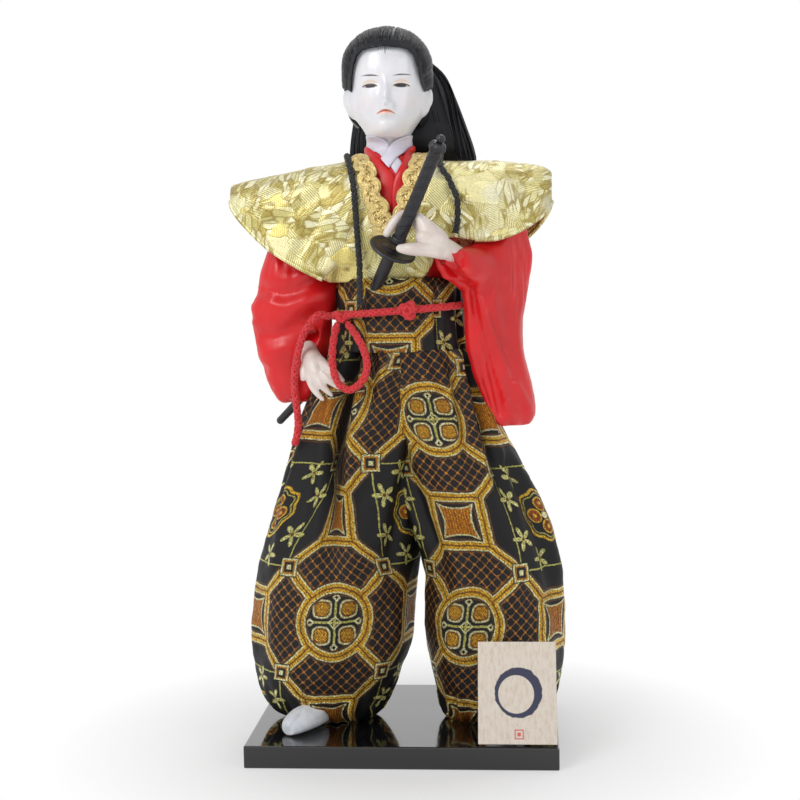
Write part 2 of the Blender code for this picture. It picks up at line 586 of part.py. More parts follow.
def vestRings(skins):
    rings = []
    for x, top, front_hem, back_hem, half in smoothRows(VEST, 28):
        ring = []
        for inward in skins:
            front = vestSheet(x, top, front_hem, half, -1.0, inward)
            back = vestSheet(x, top, back_hem, half, 1.0, inward)
            line = front[::-1] + [(x, VEST_MIDDLE_Y, top - inward)] + back
            ring += line[::-1] if inward else line
        rings.append(ring)
    return rings


vest = loft("vest", vestRings((0.0, VEST_T)), parts)
vest_surface = surfaceOf(loft("vest_form", vestRings((0.0,))))
hole_x, hole_y, hole_a, hole_b, hole_z = NECK_HOLE
boolean(vest, stack("neck_hole", ((hole_z, hole_x, hole_y, hole_a - 3.0, hole_b - 3.0),
                                  (hole_z + 4.0, hole_x, hole_y, hole_a, hole_b),
                                  (NECK_HOLE_TOP, hole_x, hole_y, hole_a, hole_b))))
boolean(vest, loft("front_opening", [[(x, y, z) for x, z in OPENING] for y in (-60.0, 2.0)]))
collar_space = band("collar_space", body_surface, RED_COLLAR, RED_W + 2.0 * GAP,
                    COLLAR_T + 1.5 * GAP, cutters, 0.0)
for space in (body_space, collar_space, saya_space):
    boolean(vest, space)


# The head: an egg with a neck, a small nose and two ears.
def headShape(angle, u, v, z):
    if v < 0.0 and abs(u) < 5.0:
        lift = math.exp(-(u / NOSE[2]) ** 2 - ((z - NOSE[0]) / NOSE[3]) ** 2)
        v -= NOSE[1] * lift
    return u, v


head = stack("head", HEAD, parts, shape=headShape, count=32)
for i, (x, y) in enumerate(EAR_AT):
    boolean(head, ball("ear_%d" % i, (x, y, EAR[0]), EAR[1:], count=10), "UNION")
head_space = stack("head_space", HEAD, grow=GAP)
boolean(body, head_space)

hair = stack("hair_cap", HAIR, parts)
boolean(hair, head_space)
for i, (x, y) in enumerate(EAR_AT):
    spaces = [h + GAP for h in EAR[1:]]
    boolean(hair, ball("ear_space_%d" % i, (x, y, EAR[0]), spaces, count=10))
outline = [(FACE_HALF * math.cos(a), FACE_TOP - 20.0 + 20.0 * math.sin(a))
           for a in (math.pi * j / 16 for j in range(17))]
outline += [(-FACE_HALF - 0.8, 240.0), (FACE_HALF + 0.8, 240.0)]
boolean(hair, loft("face_opening", [[(HEAD[6][1] + x, y, z) for x, z in outline]
                                    for y in (-60.0, FACE_BACK)]))
hair_space = stack("hair_space", HAIR, grow=GAP)
long_hair = stack("long_hair", TAIL_HAIR, parts, count=24)
boolean(long_hair, hair_space)

collar_white = band("white_collar", body_surface, WHITE_COLLAR, WHITE_W, COLLAR_T)
collar_red = band("red_collar", body_surface, RED_COLLAR, RED_W, COLLAR_T)
for collar in (collar_white, collar_red):
    boolean(collar, head_space)
for name, guide in (("lapel_braid_right", BRAID_R), ("lapel_braid_left", BRAID_L)):
    braid = band(name, vest_surface, guide, BRAID_W, BRAID_T)
    for space in (body_space, collar_space):
        boolean(braid, space)

hilt_path = smoothRows(HILT, 6)
hilt_axis = (Vector(HILT[0]) - Vector(HILT[-1])).normalized()
hilt = tube("sword_hilt", hilt_path, HILT_R, parts, 14)
bead_at = Vector(HILT[0]) + hilt_axis * (BEAD_R * 0.7)
boolean(hilt, ball("bead", bead_at, (BEAD_R,) * 3, count=10), "UNION")
tube("sword_scabbard", saya_path, SAYA_R, parts, 12)
guard_low = Vector(SAYA[0]) + hilt_axis * GAP
tube("sword_guard", [guard_low, guard_low + hilt_axis * GUARD_T], GUARD_R, parts, 28)
hilt_space = tube("hilt_space", hilt_path, HILT_R + GAP, cutters, 14)
guard_space = tube("guard_space", [guard_low - hilt_axis * GAP,
                                   guard_low + hilt_axis * (GUARD_T + GAP)], GUARD_R + GAP,
                   cutters, 28)


# A hand: a tapered palm with a wrist, joined to its fingers and thumb.
def hand(name, palm, fingers, side, group, grow=0.0):
    rows = smoothRows(palm, 6)
    if grow:
        wrist = Vector(rows[0][:3]) * 2.0 - Vector(rows[1][:3])
        rows = [(*wrist, rows[0][3])] + rows[1:]
    piece = tube(name, [r[:3] for r in rows], [r[3] + grow for r in rows], group, 14,
                 squash=0.62, side=side)
    if not grow:
        for i, finger in enumerate(fingers):
            path = smoothRows(finger, 4)
            radii = [FINGER_R * (1.0 - 0.3 * (k / 4.0) ** 3) for k in range(5)]
            boolean(piece, tube("%s_finger_%d" % (name, i), path, radii, cutters, 8), "UNION")
    return piece


hand_r = hand("hand_right", PALM_R, FINGERS_R, (1.0, 0.0, 0.0), parts)
hand_l = hand("hand_left", PALM_L, FINGERS_L, (0.0, 0.0, 1.0), parts)
for space in (hilt_space, guard_space):
    boolean(hand_l, space)
hand_space_r = hand("hand_space_right", PALM_R, (), (1.0, 0.0, 0.0), cutters, 2.0 * GAP)
hand_space_l = hand("hand_space_left", PALM_L, (), (0.0, 0.0, 1.0), cutters, 2.0 * GAP)


# Soft hanging folds in a sleeve, deeper towards its hem.
def sleeveFolds(angle, u, v, z):
    soft = SLEEVE_FOLD * smoothstep((FOLD_START - z) / FOLD_GROW)
    wave = soft * math.sin(7.0 * angle + z * 0.05)
    size = math.hypot(u, v)
    return u * (1.0 + wave / size), v * (1.0 + wave / size)


waist_space = stack("waist_space", WAISTBAND, grow=GAP, count=40)
hip_space = trouserLeg("hip_space", TROUSER_R, FOLDS_R, GAP)
hip_space_l = trouserLeg("hip_space_left", TROUSER_L, FOLDS_L, GAP)
sleeve_r = stack("sleeve_right", SLEEVE_R, parts, shape=sleeveFolds, count=26)
sleeve_l = stack("sleeve_left", SLEEVE_L, parts, shape=sleeveFolds, count=26)
for space in (body_space, waist_space, hip_space, hand_space_r, saya_space):
    boolean(sleeve_r, space)
for space in (body_space, waist_space, hip_space_l, hand_space_l):
    boolean(sleeve_l, space)

# the red cord, its knots, loop and tail
ring_x, ring_a, ring_b = WAISTBAND[2][1], WAISTBAND[2][3], WAISTBAND[2][4]
reach = CORD_R + GAP + 0.1
ring_path = []
for j in range(36):
    a = 2.0 * math.pi * j / 36
    x = ring_x + (ring_a + reach) * math.cos(a)
    ring_path.append((x, (ring_b + reach) * math.sin(a), RING_Z + RING_TILT * math.cos(a)))
waist_surface = surfaceOf(waistband)
ring_path = clearOf((waist_surface,), ring_path, CORD_R)
cord("waist_cord", ring_path, CORD_R, parts, True)
ring_space = cord("ring_space", ring_path, CORD_R + GAP, cutters, True)
boolean(sleeve_r, ring_space)
boolean(sleeve_l, ring_space)
knots = {}
for name, (x, z, a, b, c) in (("waist_knot", KNOT), ("side_knot", SIDE_KNOT)):
    flat = 1.0 - ((x - ring_x) / (ring_a + reach)) ** 2
    y = -(ring_b + reach) * math.sqrt(flat) - 1.0
    knots[name] = ball(name, (x, y, z), (a, b, c), parts, 16)
    boolean(knots[name], ring_space)
    boolean(knots[name], waist_space)
side_surface = surfaceOf(knots["side_knot"])
near = (surfaceOf(trousers), surfaceOf(sleeve_r), waist_surface, surfaceOf(hand_r), side_surface)
for name, guide, step in (("cord_tail", TAIL, 5.0), ("cord_loop", LOOP, 4.4)):
    path = evenly(smoothRows(guide, 60), step)
    inner = clearOf(near, path[1:-1], CORD_R)
    cord(name, [path[0]] + inner + [path[-1]], CORD_R, parts)
neck_path = evenly(smoothRows(NECK_CORD, 120), 5.0)
neck_path = [lay(vest_surface, p, NECK_CORD_R + GAP + 0.25) for p in neck_path]
cord("neck_cord", neck_path, NECK_CORD_R, parts)
neck_space = cord("neck_space", neck_path, NECK_CORD_R + GAP, cutters)
boolean(long_hair, neck_space)
boolean(hair, neck_space)

sign = slab("sign", (SIGN_W, SIGN_T, SIGN_H), (0.0, SIGN_T / 2.0, SIGN_H / 2.0), 0.25)
lean = math.radians(SIGN_LEAN)
for vertex in sign.data.vertices:
    x, y, z = vertex.co / MM
    vertex.co = Vector((SIGN_X + x, SIGN_Y + y * math.cos(lean) + z * math.sin(lean),
                        STAND_Z + SIGN_T * math.sin(lean) - y * math.sin(lean)
                        + z * math.cos(lean))) * MM

SLOTS = {
    "base_board": "lacquer", "leg_wire_right": "wire", "leg_wire_left": "wire",
    "foot_right": "white_cloth", "foot_left": "white_cloth", "trousers": "brocade",
    "waistband": "brocade", "under_robe": "satin", "vest": "gold_cloth", "head": "skin",
    "hair_cap": "hair", "long_hair": "hair", "white_collar": "white_cloth",
    "red_collar": "satin", "lapel_braid_right": "gold_braid", "lapel_braid_left": "gold_braid",
    "sword_hilt": "black_plastic", "sword_guard": "black_plastic",
    "sword_scabbard": "black_plastic", "hand_right": "skin", "hand_left": "skin",
    "sleeve_right": "satin", "sleeve_left": "satin", "waist_cord": "red_cord",
    "waist_knot": "red_cord", "side_knot": "red_cord", "cord_tail": "red_cord",
    "cord_loop": "red_cord", "neck_cord": "black_cord", "sign": "pale_wood",
}
for obj in parts.objects:
    colour, rough, metal = COLOURS[SLOTS[obj.name]]
    material = bpy.data.materials.new(obj.name + "_" + SLOTS[obj.name])
    material.use_nodes = True
    shader = material.node_tree.nodes["Principled BSDF"]
    shader.inputs["Base Color"].default_value = (*colour, 1.0)
    shader.inputs["Roughness"].default_value = rough
    shader.inputs["Metallic"].default_value = metal
    obj.data.materials.clear()
    obj.data.materials.append(material)
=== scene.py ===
import math
import bpy
import numpy as np
from mathutils import Matrix, Vector, noise
from mathutils.bvhtree import BVHTree


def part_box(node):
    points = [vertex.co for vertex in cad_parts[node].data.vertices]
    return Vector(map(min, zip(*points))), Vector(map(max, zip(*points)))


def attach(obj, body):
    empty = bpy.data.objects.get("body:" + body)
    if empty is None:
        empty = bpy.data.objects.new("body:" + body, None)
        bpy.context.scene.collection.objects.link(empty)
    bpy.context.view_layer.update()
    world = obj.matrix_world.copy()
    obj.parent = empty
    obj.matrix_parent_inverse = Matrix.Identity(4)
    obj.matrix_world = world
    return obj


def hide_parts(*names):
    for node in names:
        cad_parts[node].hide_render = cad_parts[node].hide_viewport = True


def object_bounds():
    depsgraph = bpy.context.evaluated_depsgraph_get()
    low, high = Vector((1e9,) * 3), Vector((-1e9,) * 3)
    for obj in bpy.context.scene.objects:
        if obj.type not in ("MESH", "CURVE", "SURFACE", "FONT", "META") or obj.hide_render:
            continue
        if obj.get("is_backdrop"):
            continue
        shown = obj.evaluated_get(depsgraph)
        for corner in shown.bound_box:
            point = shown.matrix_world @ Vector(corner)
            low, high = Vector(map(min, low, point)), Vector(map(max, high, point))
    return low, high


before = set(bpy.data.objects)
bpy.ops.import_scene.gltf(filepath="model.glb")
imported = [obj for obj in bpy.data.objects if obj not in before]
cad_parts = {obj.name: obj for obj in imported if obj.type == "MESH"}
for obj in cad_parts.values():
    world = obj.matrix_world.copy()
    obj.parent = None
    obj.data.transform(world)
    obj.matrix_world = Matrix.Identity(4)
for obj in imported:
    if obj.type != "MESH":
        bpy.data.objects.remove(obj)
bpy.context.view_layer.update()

mm = 0.001
clothUnit = 100.0      # millimetres to one unit of the cloth UV
weldGap = 0.00001      # metres between points that are one


# view, floor and light
view = {
    "place": (0.0477, -0.6373, 0.1908),
    "turn": (4.41, 4.31, -0.94),       # yaw, pitch and roll in degrees
    "lens": 69.0,
    "floor": (0.86, 0.86, 0.87),
    "backdrop": 1.0,
    "fade": (62.0, 150.0, 0.4, 1.0),   # the floor's own glow: from and to a distance, least and most
    "world": 0.3,
    "sensor": 36.0,
    "aim": (0.0, 0.0, 0.15),
    "lamps": {                         # place, size and power of each
        "key": ((-0.55, -0.75, 0.75), 0.55, 5.4),
        "fill": ((0.8, -0.6, 0.45), 0.6, 1.5),
        "top": ((0.1, 0.5, 1.0), 0.6, 2.0),
    },
}

cameraData = bpy.data.cameras.new("camera")
cameraData.lens = view["lens"]
cameraData.sensor_width = view["sensor"]
camera = bpy.data.objects.new("camera", cameraData)
bpy.context.scene.collection.objects.link(camera)
yaw, pitch, roll = (math.radians(a) for a in view["turn"])
camera.rotation_euler = (Matrix.Rotation(yaw, 3, "Z") @ Matrix.Rotation(math.pi / 2 - pitch, 3, "X")
                         @ Matrix.Rotation(roll, 3, "Z")).to_euler()
camera.location = view["place"]
bpy.context.scene.camera = camera


def softLight(name, place, aim, size, power):
    data = bpy.data.lights.new(name, "AREA")
    data.shape = "DISK"
    data.size = size
    data.energy = power
    lamp = bpy.data.objects.new(name, data)
    bpy.context.scene.collection.objects.link(lamp)
    lamp.location = place
    lamp.rotation_euler = (Vector(aim) - Vector(place)).to_track_quat("-Z", "Y").to_euler()


for name, (place, size, power) in view["lamps"].items():
    softLight(name, place, view["aim"], size, power)


# The backdrop is white for the camera, in mirrors and through glass, and a softer light elsewhere.
world = bpy.data.worlds.new("studio")
world.use_nodes = True
bpy.context.scene.world = world
sky = world.node_tree
path = sky.nodes.new("ShaderNodeLightPath")
level = sky.nodes.new("ShaderNodeMapRange")
level.inputs["To Min"].default_value = view["world"]
level.inputs["To Max"].default_value = view["backdrop"]
shown = path.outputs["Is Camera Ray"]
for ray in ("Is Glossy Ray", "Is Transmission Ray"):
    either = sky.nodes.new("ShaderNodeMath")
    either.operation = "MAXIMUM"
    sky.links.new(shown, either.inputs[0])
    sky.links.new(path.outputs[ray], either.inputs[1])
    shown = either.outputs[0]
sky.links.new(shown, level.inputs["Value"])
sky.links.new(level.outputs[0], sky.nodes["Background"].inputs["Strength"])
sky.nodes["Background"].inputs["Color"].default_value = (1.0, 1.0, 1.0, 1.0)

bpy.context.scene.view_settings.view_transform = "Standard"


# small helpers
def only(obj):
    bpy.ops.object.select_all(action="DESELECT")
    obj.select_set(True)
    bpy.context.view_layer.objects.active = obj
    return obj


def apply(obj, kind, name="step", **settings):
    only(obj)
    step = obj.modifiers.new(name, kind)
    for key, value in settings.items():
        setattr(step, key, value)
    bpy.ops.object.modifier_apply(modifier=step.name)
    return obj


def editAll(obj):
    only(obj)
    bpy.ops.object.mode_set(mode="EDIT")
    bpy.ops.mesh.select_all(action="SELECT")


def doneEditing():
    bpy.ops.object.mode_set(mode="OBJECT")


def outward(obj):
    editAll(obj)
    bpy.ops.mesh.normals_make_consistent(inside=False)
    doneEditing()
    return obj


def settle(obj):                       # place and size go into the mesh
    only(obj)
    bpy.ops.object.transform_apply(location=True, rotation=True, scale=True)
    return obj


def joined(name, pieces):
    bpy.ops.object.select_all(action="DESELECT")
    for piece in pieces:
        piece.select_set(True)
    bpy.context.view_layer.objects.active = pieces[0]
    if len(pieces) > 1:
        bpy.ops.object.join()
    pieces[0].name = pieces[0].data.name = name
    return pieces[0]


def smooth(obj, angle=None):
    only(obj)
    if angle:
        bpy.ops.object.shade_smooth_by_angle(angle=math.radians(angle))
    else:
        bpy.ops.object.shade_smooth()
    return obj


def dress(obj, material, slotName, *nodes):
    obj.data.materials.clear()
    obj.data.materials.append(material)
    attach(obj, "root")
    if nodes:
        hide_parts(*nodes)
    return obj


def welded(obj):
    editAll(obj)
    bpy.ops.mesh.remove_doubles(threshold=weldGap)
    doneEditing()
    return obj


def copyOfNode(node, name):            # a CAD node's mesh again, welded
    only(bpy.data.objects[node])
    twin = bpy.data.objects[node].copy()
    twin.data = twin.data.copy()
    twin.name = twin.data.name = name
    for key in list(twin.keys()):
        del twin[key]
    bpy.context.scene.collection.objects.link(twin)
    twin.parent = None
    twin.hide_render = twin.hide_viewport = False
    return welded(twin)


def smoothRows(rows, count):           # rows of numbers along a smooth curve through them
    rows = np.array(rows, float)
    spans = len(rows) - 1
    place = np.linspace(0.0, spans, count + 1)
    k = np.minimum(place.astype(int), spans - 1)
    t = (place - k)[:, None]
    a, b, c, d = (rows[np.clip(k + j, 0, spans)] for j in (-1, 0, 1, 2))
    return 0.5 * (2 * b + (c - a) * t + (2 * a - 5 * b + 4 * c - d) * t ** 2
                  + (3 * b - a - 3 * c + d) * t ** 3)


def evenly(points, step):              # points at even spaces along a line
    points = np.array(points, float)
    along = np.concatenate([[0.0], np.cumsum(np.linalg.norm(np.diff(points, axis=0), axis=1))])
    count = max(2, round(along[-1] / step))
    at = np.linspace(0.0, along[-1], count + 1)
    return np.stack([np.interp(at, along, points[:, i]) for i in range(3)], axis=1)


def smoothstep(value):
    value = np.clip(value, 0.0, 1.0)
    return value * value * (3.0 - 2.0 * value)


def turnAngles(count):                 # angles evenly round a circle
    return [2.0 * math.pi * j / count for j in range(count)]


def ball(place, radius, segments, rings, scale=(1.0, 1.0, 1.0)):
    bpy.ops.mesh.primitive_uv_sphere_add(segments=segments, ring_count=rings, radius=radius * mm,
                                         location=tuple(c * mm for c in place))
    bpy.context.object.scale = scale
    return settle(bpy.context.object)


def surfaceOf(obj):
    bpy.context.view_layer.update()
    return BVHTree.FromObject(obj, bpy.context.evaluated_depsgraph_get())


print("camera, light and helpers ready")


# node helpers
def paint(red, green, blue):           # a screen colour, 0 to 255, as the shader wants it
    return tuple(c / 12.92 if c <= 0.04045 else ((c + 0.055) / 1.055) ** 2.4
                 for c in (red / 255, green / 255, blue / 255))


def calc(tree, kind, *values, clamp=False):    # one Math node from sockets or numbers
    node = tree.nodes.new("ShaderNodeMath")
    node.operation = kind
    node.use_clamp = clamp
    for socket, value in zip(node.inputs, values):
        if isinstance(value, (int, float)):
            socket.default_value = value
        else:
            tree.links.new(value, socket)
    return node.outputs[0]


def plus(tree, one, two):
    return calc(tree, "ADD", one, two)


def minus(tree, one, two):
    return calc(tree, "SUBTRACT", one, two)


def times(tree, one, two):
    return calc(tree, "MULTIPLY", one, two)


def positive(tree, value):
    return calc(tree, "ABSOLUTE", value)


def longer(tree, one, two):            # length of the two together
    return calc(tree, "SQRT", plus(tree, times(tree, one, one), times(tree, two, two)))


def tinted(tree, colour, tone):
    return blendColour(tree, 1.0, colour, tone, "MULTIPLY")


def under(tree, value, edge, soft):    # 1 where the value is below the edge
    return calc(tree, "MULTIPLY_ADD", value, -1.0 / soft, edge / soft + 0.5, clamp=True)


def ringOf(tree, value, low, high, soft):
    return calc(tree, "SUBTRACT", under(tree, value, high, soft), under(tree, value, low, soft),
                clamp=True)


def both(tree, *masks):
    out = masks[0]
    for mask in masks[1:]:
        out = times(tree, out, mask)
    return out


def least(tree, *values):
    out = values[0]
    for value in values[1:]:
        out = calc(tree, "MINIMUM", out, value)
    return out


def away(tree, value, place):          # distance from a number
    return positive(tree, minus(tree, value, place))


def blendColour(tree, mask, low, high, kind="MIX"):
    node = tree.nodes.new("ShaderNodeMix")
    node.data_type = "RGBA"
    node.blend_type = kind
    for socket, value in ((node.inputs[0], mask), (node.inputs[6], low), (node.inputs[7], high)):
        if isinstance(value, (int, float)):
            socket.default_value = value
        elif isinstance(value, tuple):
            socket.default_value = (*value, 1.0)
        else:
            tree.links.new(value, socket)
    return node.outputs[2]


def ramp(tree, value, *stops):         # stops are place and colour
    node = tree.nodes.new("ShaderNodeValToRGB")
    points = node.color_ramp.elements
    while len(points) < len(stops):
        points.new(0.5)
    for point, (place, colour) in zip(points, stops):
        point.position = place
        point.color = (*colour, 1.0)
    tree.links.new(value, node.inputs[0])
    return node.outputs[0]


def spread(tree, value, low, high, newLow, newHigh):
    node = tree.nodes.new("ShaderNodeMapRange")
    for socket, number in zip(node.inputs[1:5], (low, high, newLow, newHigh)):
        socket.default_value = number
    tree.links.new(value, node.inputs[0])
    return node.outputs[0]


def speckle(tree, place, scale, detail=2.0, rough=0.5):
    node = tree.nodes.new("ShaderNodeTexNoise")
    node.inputs["Scale"].default_value = scale
    node.inputs["Detail"].default_value = detail
    node.inputs["Roughness"].default_value = rough
    tree.links.new(place, node.inputs["Vector"])
    return node.outputs[0]


def cells(tree, place, scale, feature="F1", output="Distance"):
    node = tree.nodes.new("ShaderNodeTexVoronoi")
    node.feature = feature
    node.inputs["Scale"].default_value = scale
    tree.links.new(place, node.inputs["Vector"])
    return node.outputs[output]


def sized(tree, place, x, y, z):       # a place multiplied along each direction
    node = tree.nodes.new("ShaderNodeVectorMath")
    node.operation = "MULTIPLY"
    node.inputs[1].default_value = (x, y, z)
    tree.links.new(place, node.inputs[0])
    return node.outputs[0]


def moved(tree, place, noiseScale, amount):    # a place shifted about by noise
    node = tree.nodes.new("ShaderNodeTexNoise")
    node.inputs["Scale"].default_value = noiseScale
    tree.links.new(place, node.inputs["Vector"])
    shift = tree.nodes.new("ShaderNodeVectorMath")
    shift.operation = "MULTIPLY_ADD"
    shift.inputs[1].default_value = (amount,) * 3
    tree.links.new(node.outputs["Color"], shift.inputs[0])
    tree.links.new(place, shift.inputs[2])
    return shift.outputs[0]


def axes(tree, place):
    node = tree.nodes.new("ShaderNodeSeparateXYZ")
    tree.links.new(place, node.inputs[0])
    return node.outputs


def together(tree, x, y, z=0.0):
    node = tree.nodes.new("ShaderNodeCombineXYZ")
    for socket, value in zip(node.inputs, (x, y, z)):
        if isinstance(value, (int, float)):
            socket.default_value = value
        else:
            tree.links.new(value, socket)
    return node.outputs[0]


# Places in millimetres: on the object, or on the cloth's own UV map.
def placeOf(tree, uvMap=None):
    if uvMap:
        node = tree.nodes.new("ShaderNodeUVMap")
        node.uv_map = uvMap
        return sized(tree, node.outputs[0], clothUnit, clothUnit, clothUnit)
    node = tree.nodes.new("ShaderNodeTexCoord")
    return sized(tree, node.outputs["Object"], 1000.0, 1000.0, 1000.0)


def newMaterial(name, colour, rough, metal=0.0, **more):
    material = bpy.data.materials.new(name)
    material.use_nodes = True
    shader = material.node_tree.nodes["Principled BSDF"]
    shader.inputs["Base Color"].default_value = (*colour, 1.0)
    shader.inputs["Roughness"].default_value = rough
    shader.inputs["Metallic"].default_value = metal
    for key, value in more.items():
        shader.inputs[key.replace("_", " ")].default_value = value
    return material, material.node_tree, shader


def feed(shader, name, value):
    value.id_data.links.new(value, shader.inputs[name])


def raised(tree, shader, height, distance, strength=1.0):
    node = tree.nodes.new("ShaderNodeBump")
    node.inputs["Strength"].default_value = strength
    node.inputs["Distance"].default_value = distance * mm
    tree.links.new(height, node.inputs["Height"])
    feed(shader, "Normal", node.outputs[0])


# Brocade: large octagons with round medallions and flowers, squares between them.
brocade = {
    "half": 44.0, "squareHalf": 10.5, "node": 22.0, "ring": 14.2,
    "ground": paint(8, 6, 9), "lattice": paint(158, 108, 66), "rust": paint(136, 70, 20),
    "deepGold": paint(184, 124, 28), "gold": paint(240, 190, 66), "bright": paint(255, 250, 186),
    "green": paint(206, 200, 110), "brown": paint(104, 62, 24),
}


def brocadeGroup():
    b, soft = brocade, 0.28
    group = bpy.data.node_groups.new("octagonBrocade", "ShaderNodeTree")
    group.interface.new_socket("Place", in_out="INPUT", socket_type="NodeSocketVector")
    group.interface.new_socket("Colour", in_out="OUTPUT", socket_type="NodeSocketColor")
    start, end = group.nodes.new("NodeGroupInput"), group.nodes.new("NodeGroupOutput")
    t = group

    def over(colour, tone, *masks):
        return blendColour(t, both(t, *masks), colour, b[tone])

    def inside(value, edge):
        return under(t, value, edge, soft)

    def steps(colour, value, *rows):   # each row an edge and the colour inside it
        for edge, tone in rows:
            colour = over(colour, tone, inside(value, edge))
        return colour

    def ringAt(value, low, high):
        return ringOf(t, value, low, high, soft)

    half, sq, nd = b["half"], b["squareHalf"], b["node"]
    u, v, _ = axes(t, start.outputs[0])
    u, v = calc(t, "SNAP", u, 0.36), calc(t, "SNAP", v, 0.3)
    ax, ay = calc(t, "PINGPONG", u, half), calc(t, "PINGPONG", v, half)
    bx, by = minus(t, half, ax), minus(t, half, ay)
    total = plus(t, ax, ay)
    diagonal = times(t, away(t, total, half), 0.7071)
    cross = times(t, positive(t, minus(t, ax, ay)), 0.7071)
    square = minus(t, least(t, calc(t, "MAXIMUM", bx, ay), calc(t, "MAXIMUM", ax, by)), sq)
    inSquare = inside(square, 0.0)
    notSquare = minus(t, 1.0, inSquare)
    inA = both(t, inside(total, half), notSquare)
    inB = both(t, minus(t, 1.0, inside(total, half)), notSquare)
    fromCentre = longer(t, ax, ay)
    outRing = minus(t, 1.0, inside(fromCentre, b["ring"]))
    spoke = calc(t, "MULTIPLY_ADD", both(t, inA, outRing), -60.0, plus(t, cross, 60.0))
    edge = least(t, positive(t, square), calc(t, "MULTIPLY_ADD", inSquare, 60.0, diagonal))
    edge = least(t, edge, spoke)

    # diamond lattice in the medallion octagons
    one = calc(t, "PINGPONG", total, 2.3)
    two = calc(t, "PINGPONG", minus(t, ax, ay), 2.3)
    lines = calc(t, "MAXIMUM", under(t, one, 0.2, 0.25), under(t, two, 0.2, 0.25))
    dots = both(t, under(t, one, 0.62, 0.3), under(t, two, 0.62, 0.3))
    colour = blendColour(t, both(t, lines, inA), b["ground"], b["lattice"])
    colour = over(colour, "deepGold", dots, inA)

    # flowers round a rust cluster in the other octagons
    def flower(x, y, size):
        px, py = minus(t, bx, x), minus(t, by, y)
        angle = calc(t, "ARCTAN2", py, px)
        far = longer(t, px, py)
        wave = calc(t, "COSINE", times(t, angle, 5.0))
        leaf = minus(t, far, calc(t, "MULTIPLY_ADD", wave, 0.46 * size, 0.6 * size))
        return leaf, far

    for x, y in ((8.4, 17.8), (17.8, 8.4)):
        leaf, far = flower(x, y, 5.0)
        colour = over(colour, "green", inside(leaf, 0.0), inB)
        colour = over(colour, "bright", ringAt(leaf, -1.9, -0.9), inB)
        colour = over(colour, "brown", inside(far, 0.8), inB)
    vine = minus(t, calc(t, "MAXIMUM", bx, by), 21.6)
    colour = over(colour, "green", ringAt(positive(t, vine), -1.0, 0.26), inB)
    core = longer(t, bx, by)
    turn = calc(t, "COSINE", times(t, calc(t, "ARCTAN2", by, bx), 8.0))
    frameAt = minus(t, core, calc(t, "MULTIPLY_ADD", turn, 0.5, 10.6))
    colour = over(colour, "gold", inside(positive(t, frameAt), 0.5))
    colour = over(colour, "green", ringAt(frameAt, -1.7, -1.25))
    petal = least(t, *(calc(t, "SQRT", plus(t, calc(t, "POWER", away(t, bx, x), 2.0),
                                            calc(t, "POWER", away(t, by, y), 2.0)))
                       for x, y in ((4.9, 0.0), (0.0, 4.9))))
    colour = steps(colour, petal, (3.1, "gold"), (2.5, "rust"), (0.8, "gold"))
    colour = over(colour, "bright", inside(core, 1.5))

    # the medallion
    disc = inside(fromCentre, b["ring"] - 1.6)
    colour = over(colour, "ground", disc)
    colour = over(colour, "green", ringAt(fromCentre, 11.5, 11.9))
    px, py = away(t, ax, 5.5), away(t, ay, 5.5)
    lobe = calc(t, "POWER", plus(t, calc(t, "POWER", px, 3.0), calc(t, "POWER", py, 3.0)), 1 / 3)
    stripe = under(t, calc(t, "PINGPONG", plus(t, u, v), 0.55), 0.26, 0.2)
    colour = steps(colour, lobe, (3.9, "bright"), (3.25, "brown"), (2.6, "rust"))
    colour = over(colour, "gold", inside(lobe, 2.6), stripe)
    bar = least(t, ax, ay)
    along = calc(t, "MAXIMUM", ax, ay)
    colour = over(colour, "green", inside(bar, 0.42), disc)
    tip = plus(t, times(t, bar, 1.25), away(t, along, 10.2))
    colour = over(colour, "bright", inside(tip, 2.1), disc)
    colour = over(colour, "ground", inside(tip, 0.9))
    colour = over(colour, "bright", ringAt(total, 2.2, 2.9))
    colour = over(colour, "green", inside(total, 1.1))

    # rust squares with drawn-in sides
    xx, yy = least(t, bx, ax), least(t, ay, by)
    hollow = calc(t, "MAXIMUM",
                  calc(t, "MULTIPLY_ADD", times(t, yy, yy), -0.03, xx),
                  calc(t, "MULTIPLY_ADD", times(t, xx, xx), -0.03, yy))
    rib = under(t, calc(t, "PINGPONG", u, 0.6), 0.3, 0.2)
    panel = both(t, inSquare, inside(hollow, 5.4))
    colour = over(colour, "bright", inSquare, inside(hollow, 6.0))
    colour = over(colour, "rust", panel)
    colour = over(colour, "deepGold", panel, rib)

    # gold bands along every edge, the ring and the small squares where they meet
    ringLine = away(t, fromCentre, b["ring"])
    lineAt = least(t, edge, ringLine)
    tick = under(t, calc(t, "PINGPONG", plus(t, u, v), 0.7), 0.22, 0.2)
    colour = steps(colour, lineAt, (2.9, "brown"), (2.5, "ground"), (2.05, "bright"), (1.5, "gold"))
    colour = over(colour, "deepGold", inside(lineAt, 1.5), tick)
    colour = over(colour, "brown", inside(lineAt, 0.35))
    knot = calc(t, "MAXIMUM", away(t, ax, nd), away(t, ay, nd))
    colour = steps(colour, knot, (4.1, "ground"), (3.6, "bright"), (2.9, "deepGold"),
                   (2.2, "ground"), (1.0, "bright"))
    t.links.new(colour, end.inputs[0])
    return group


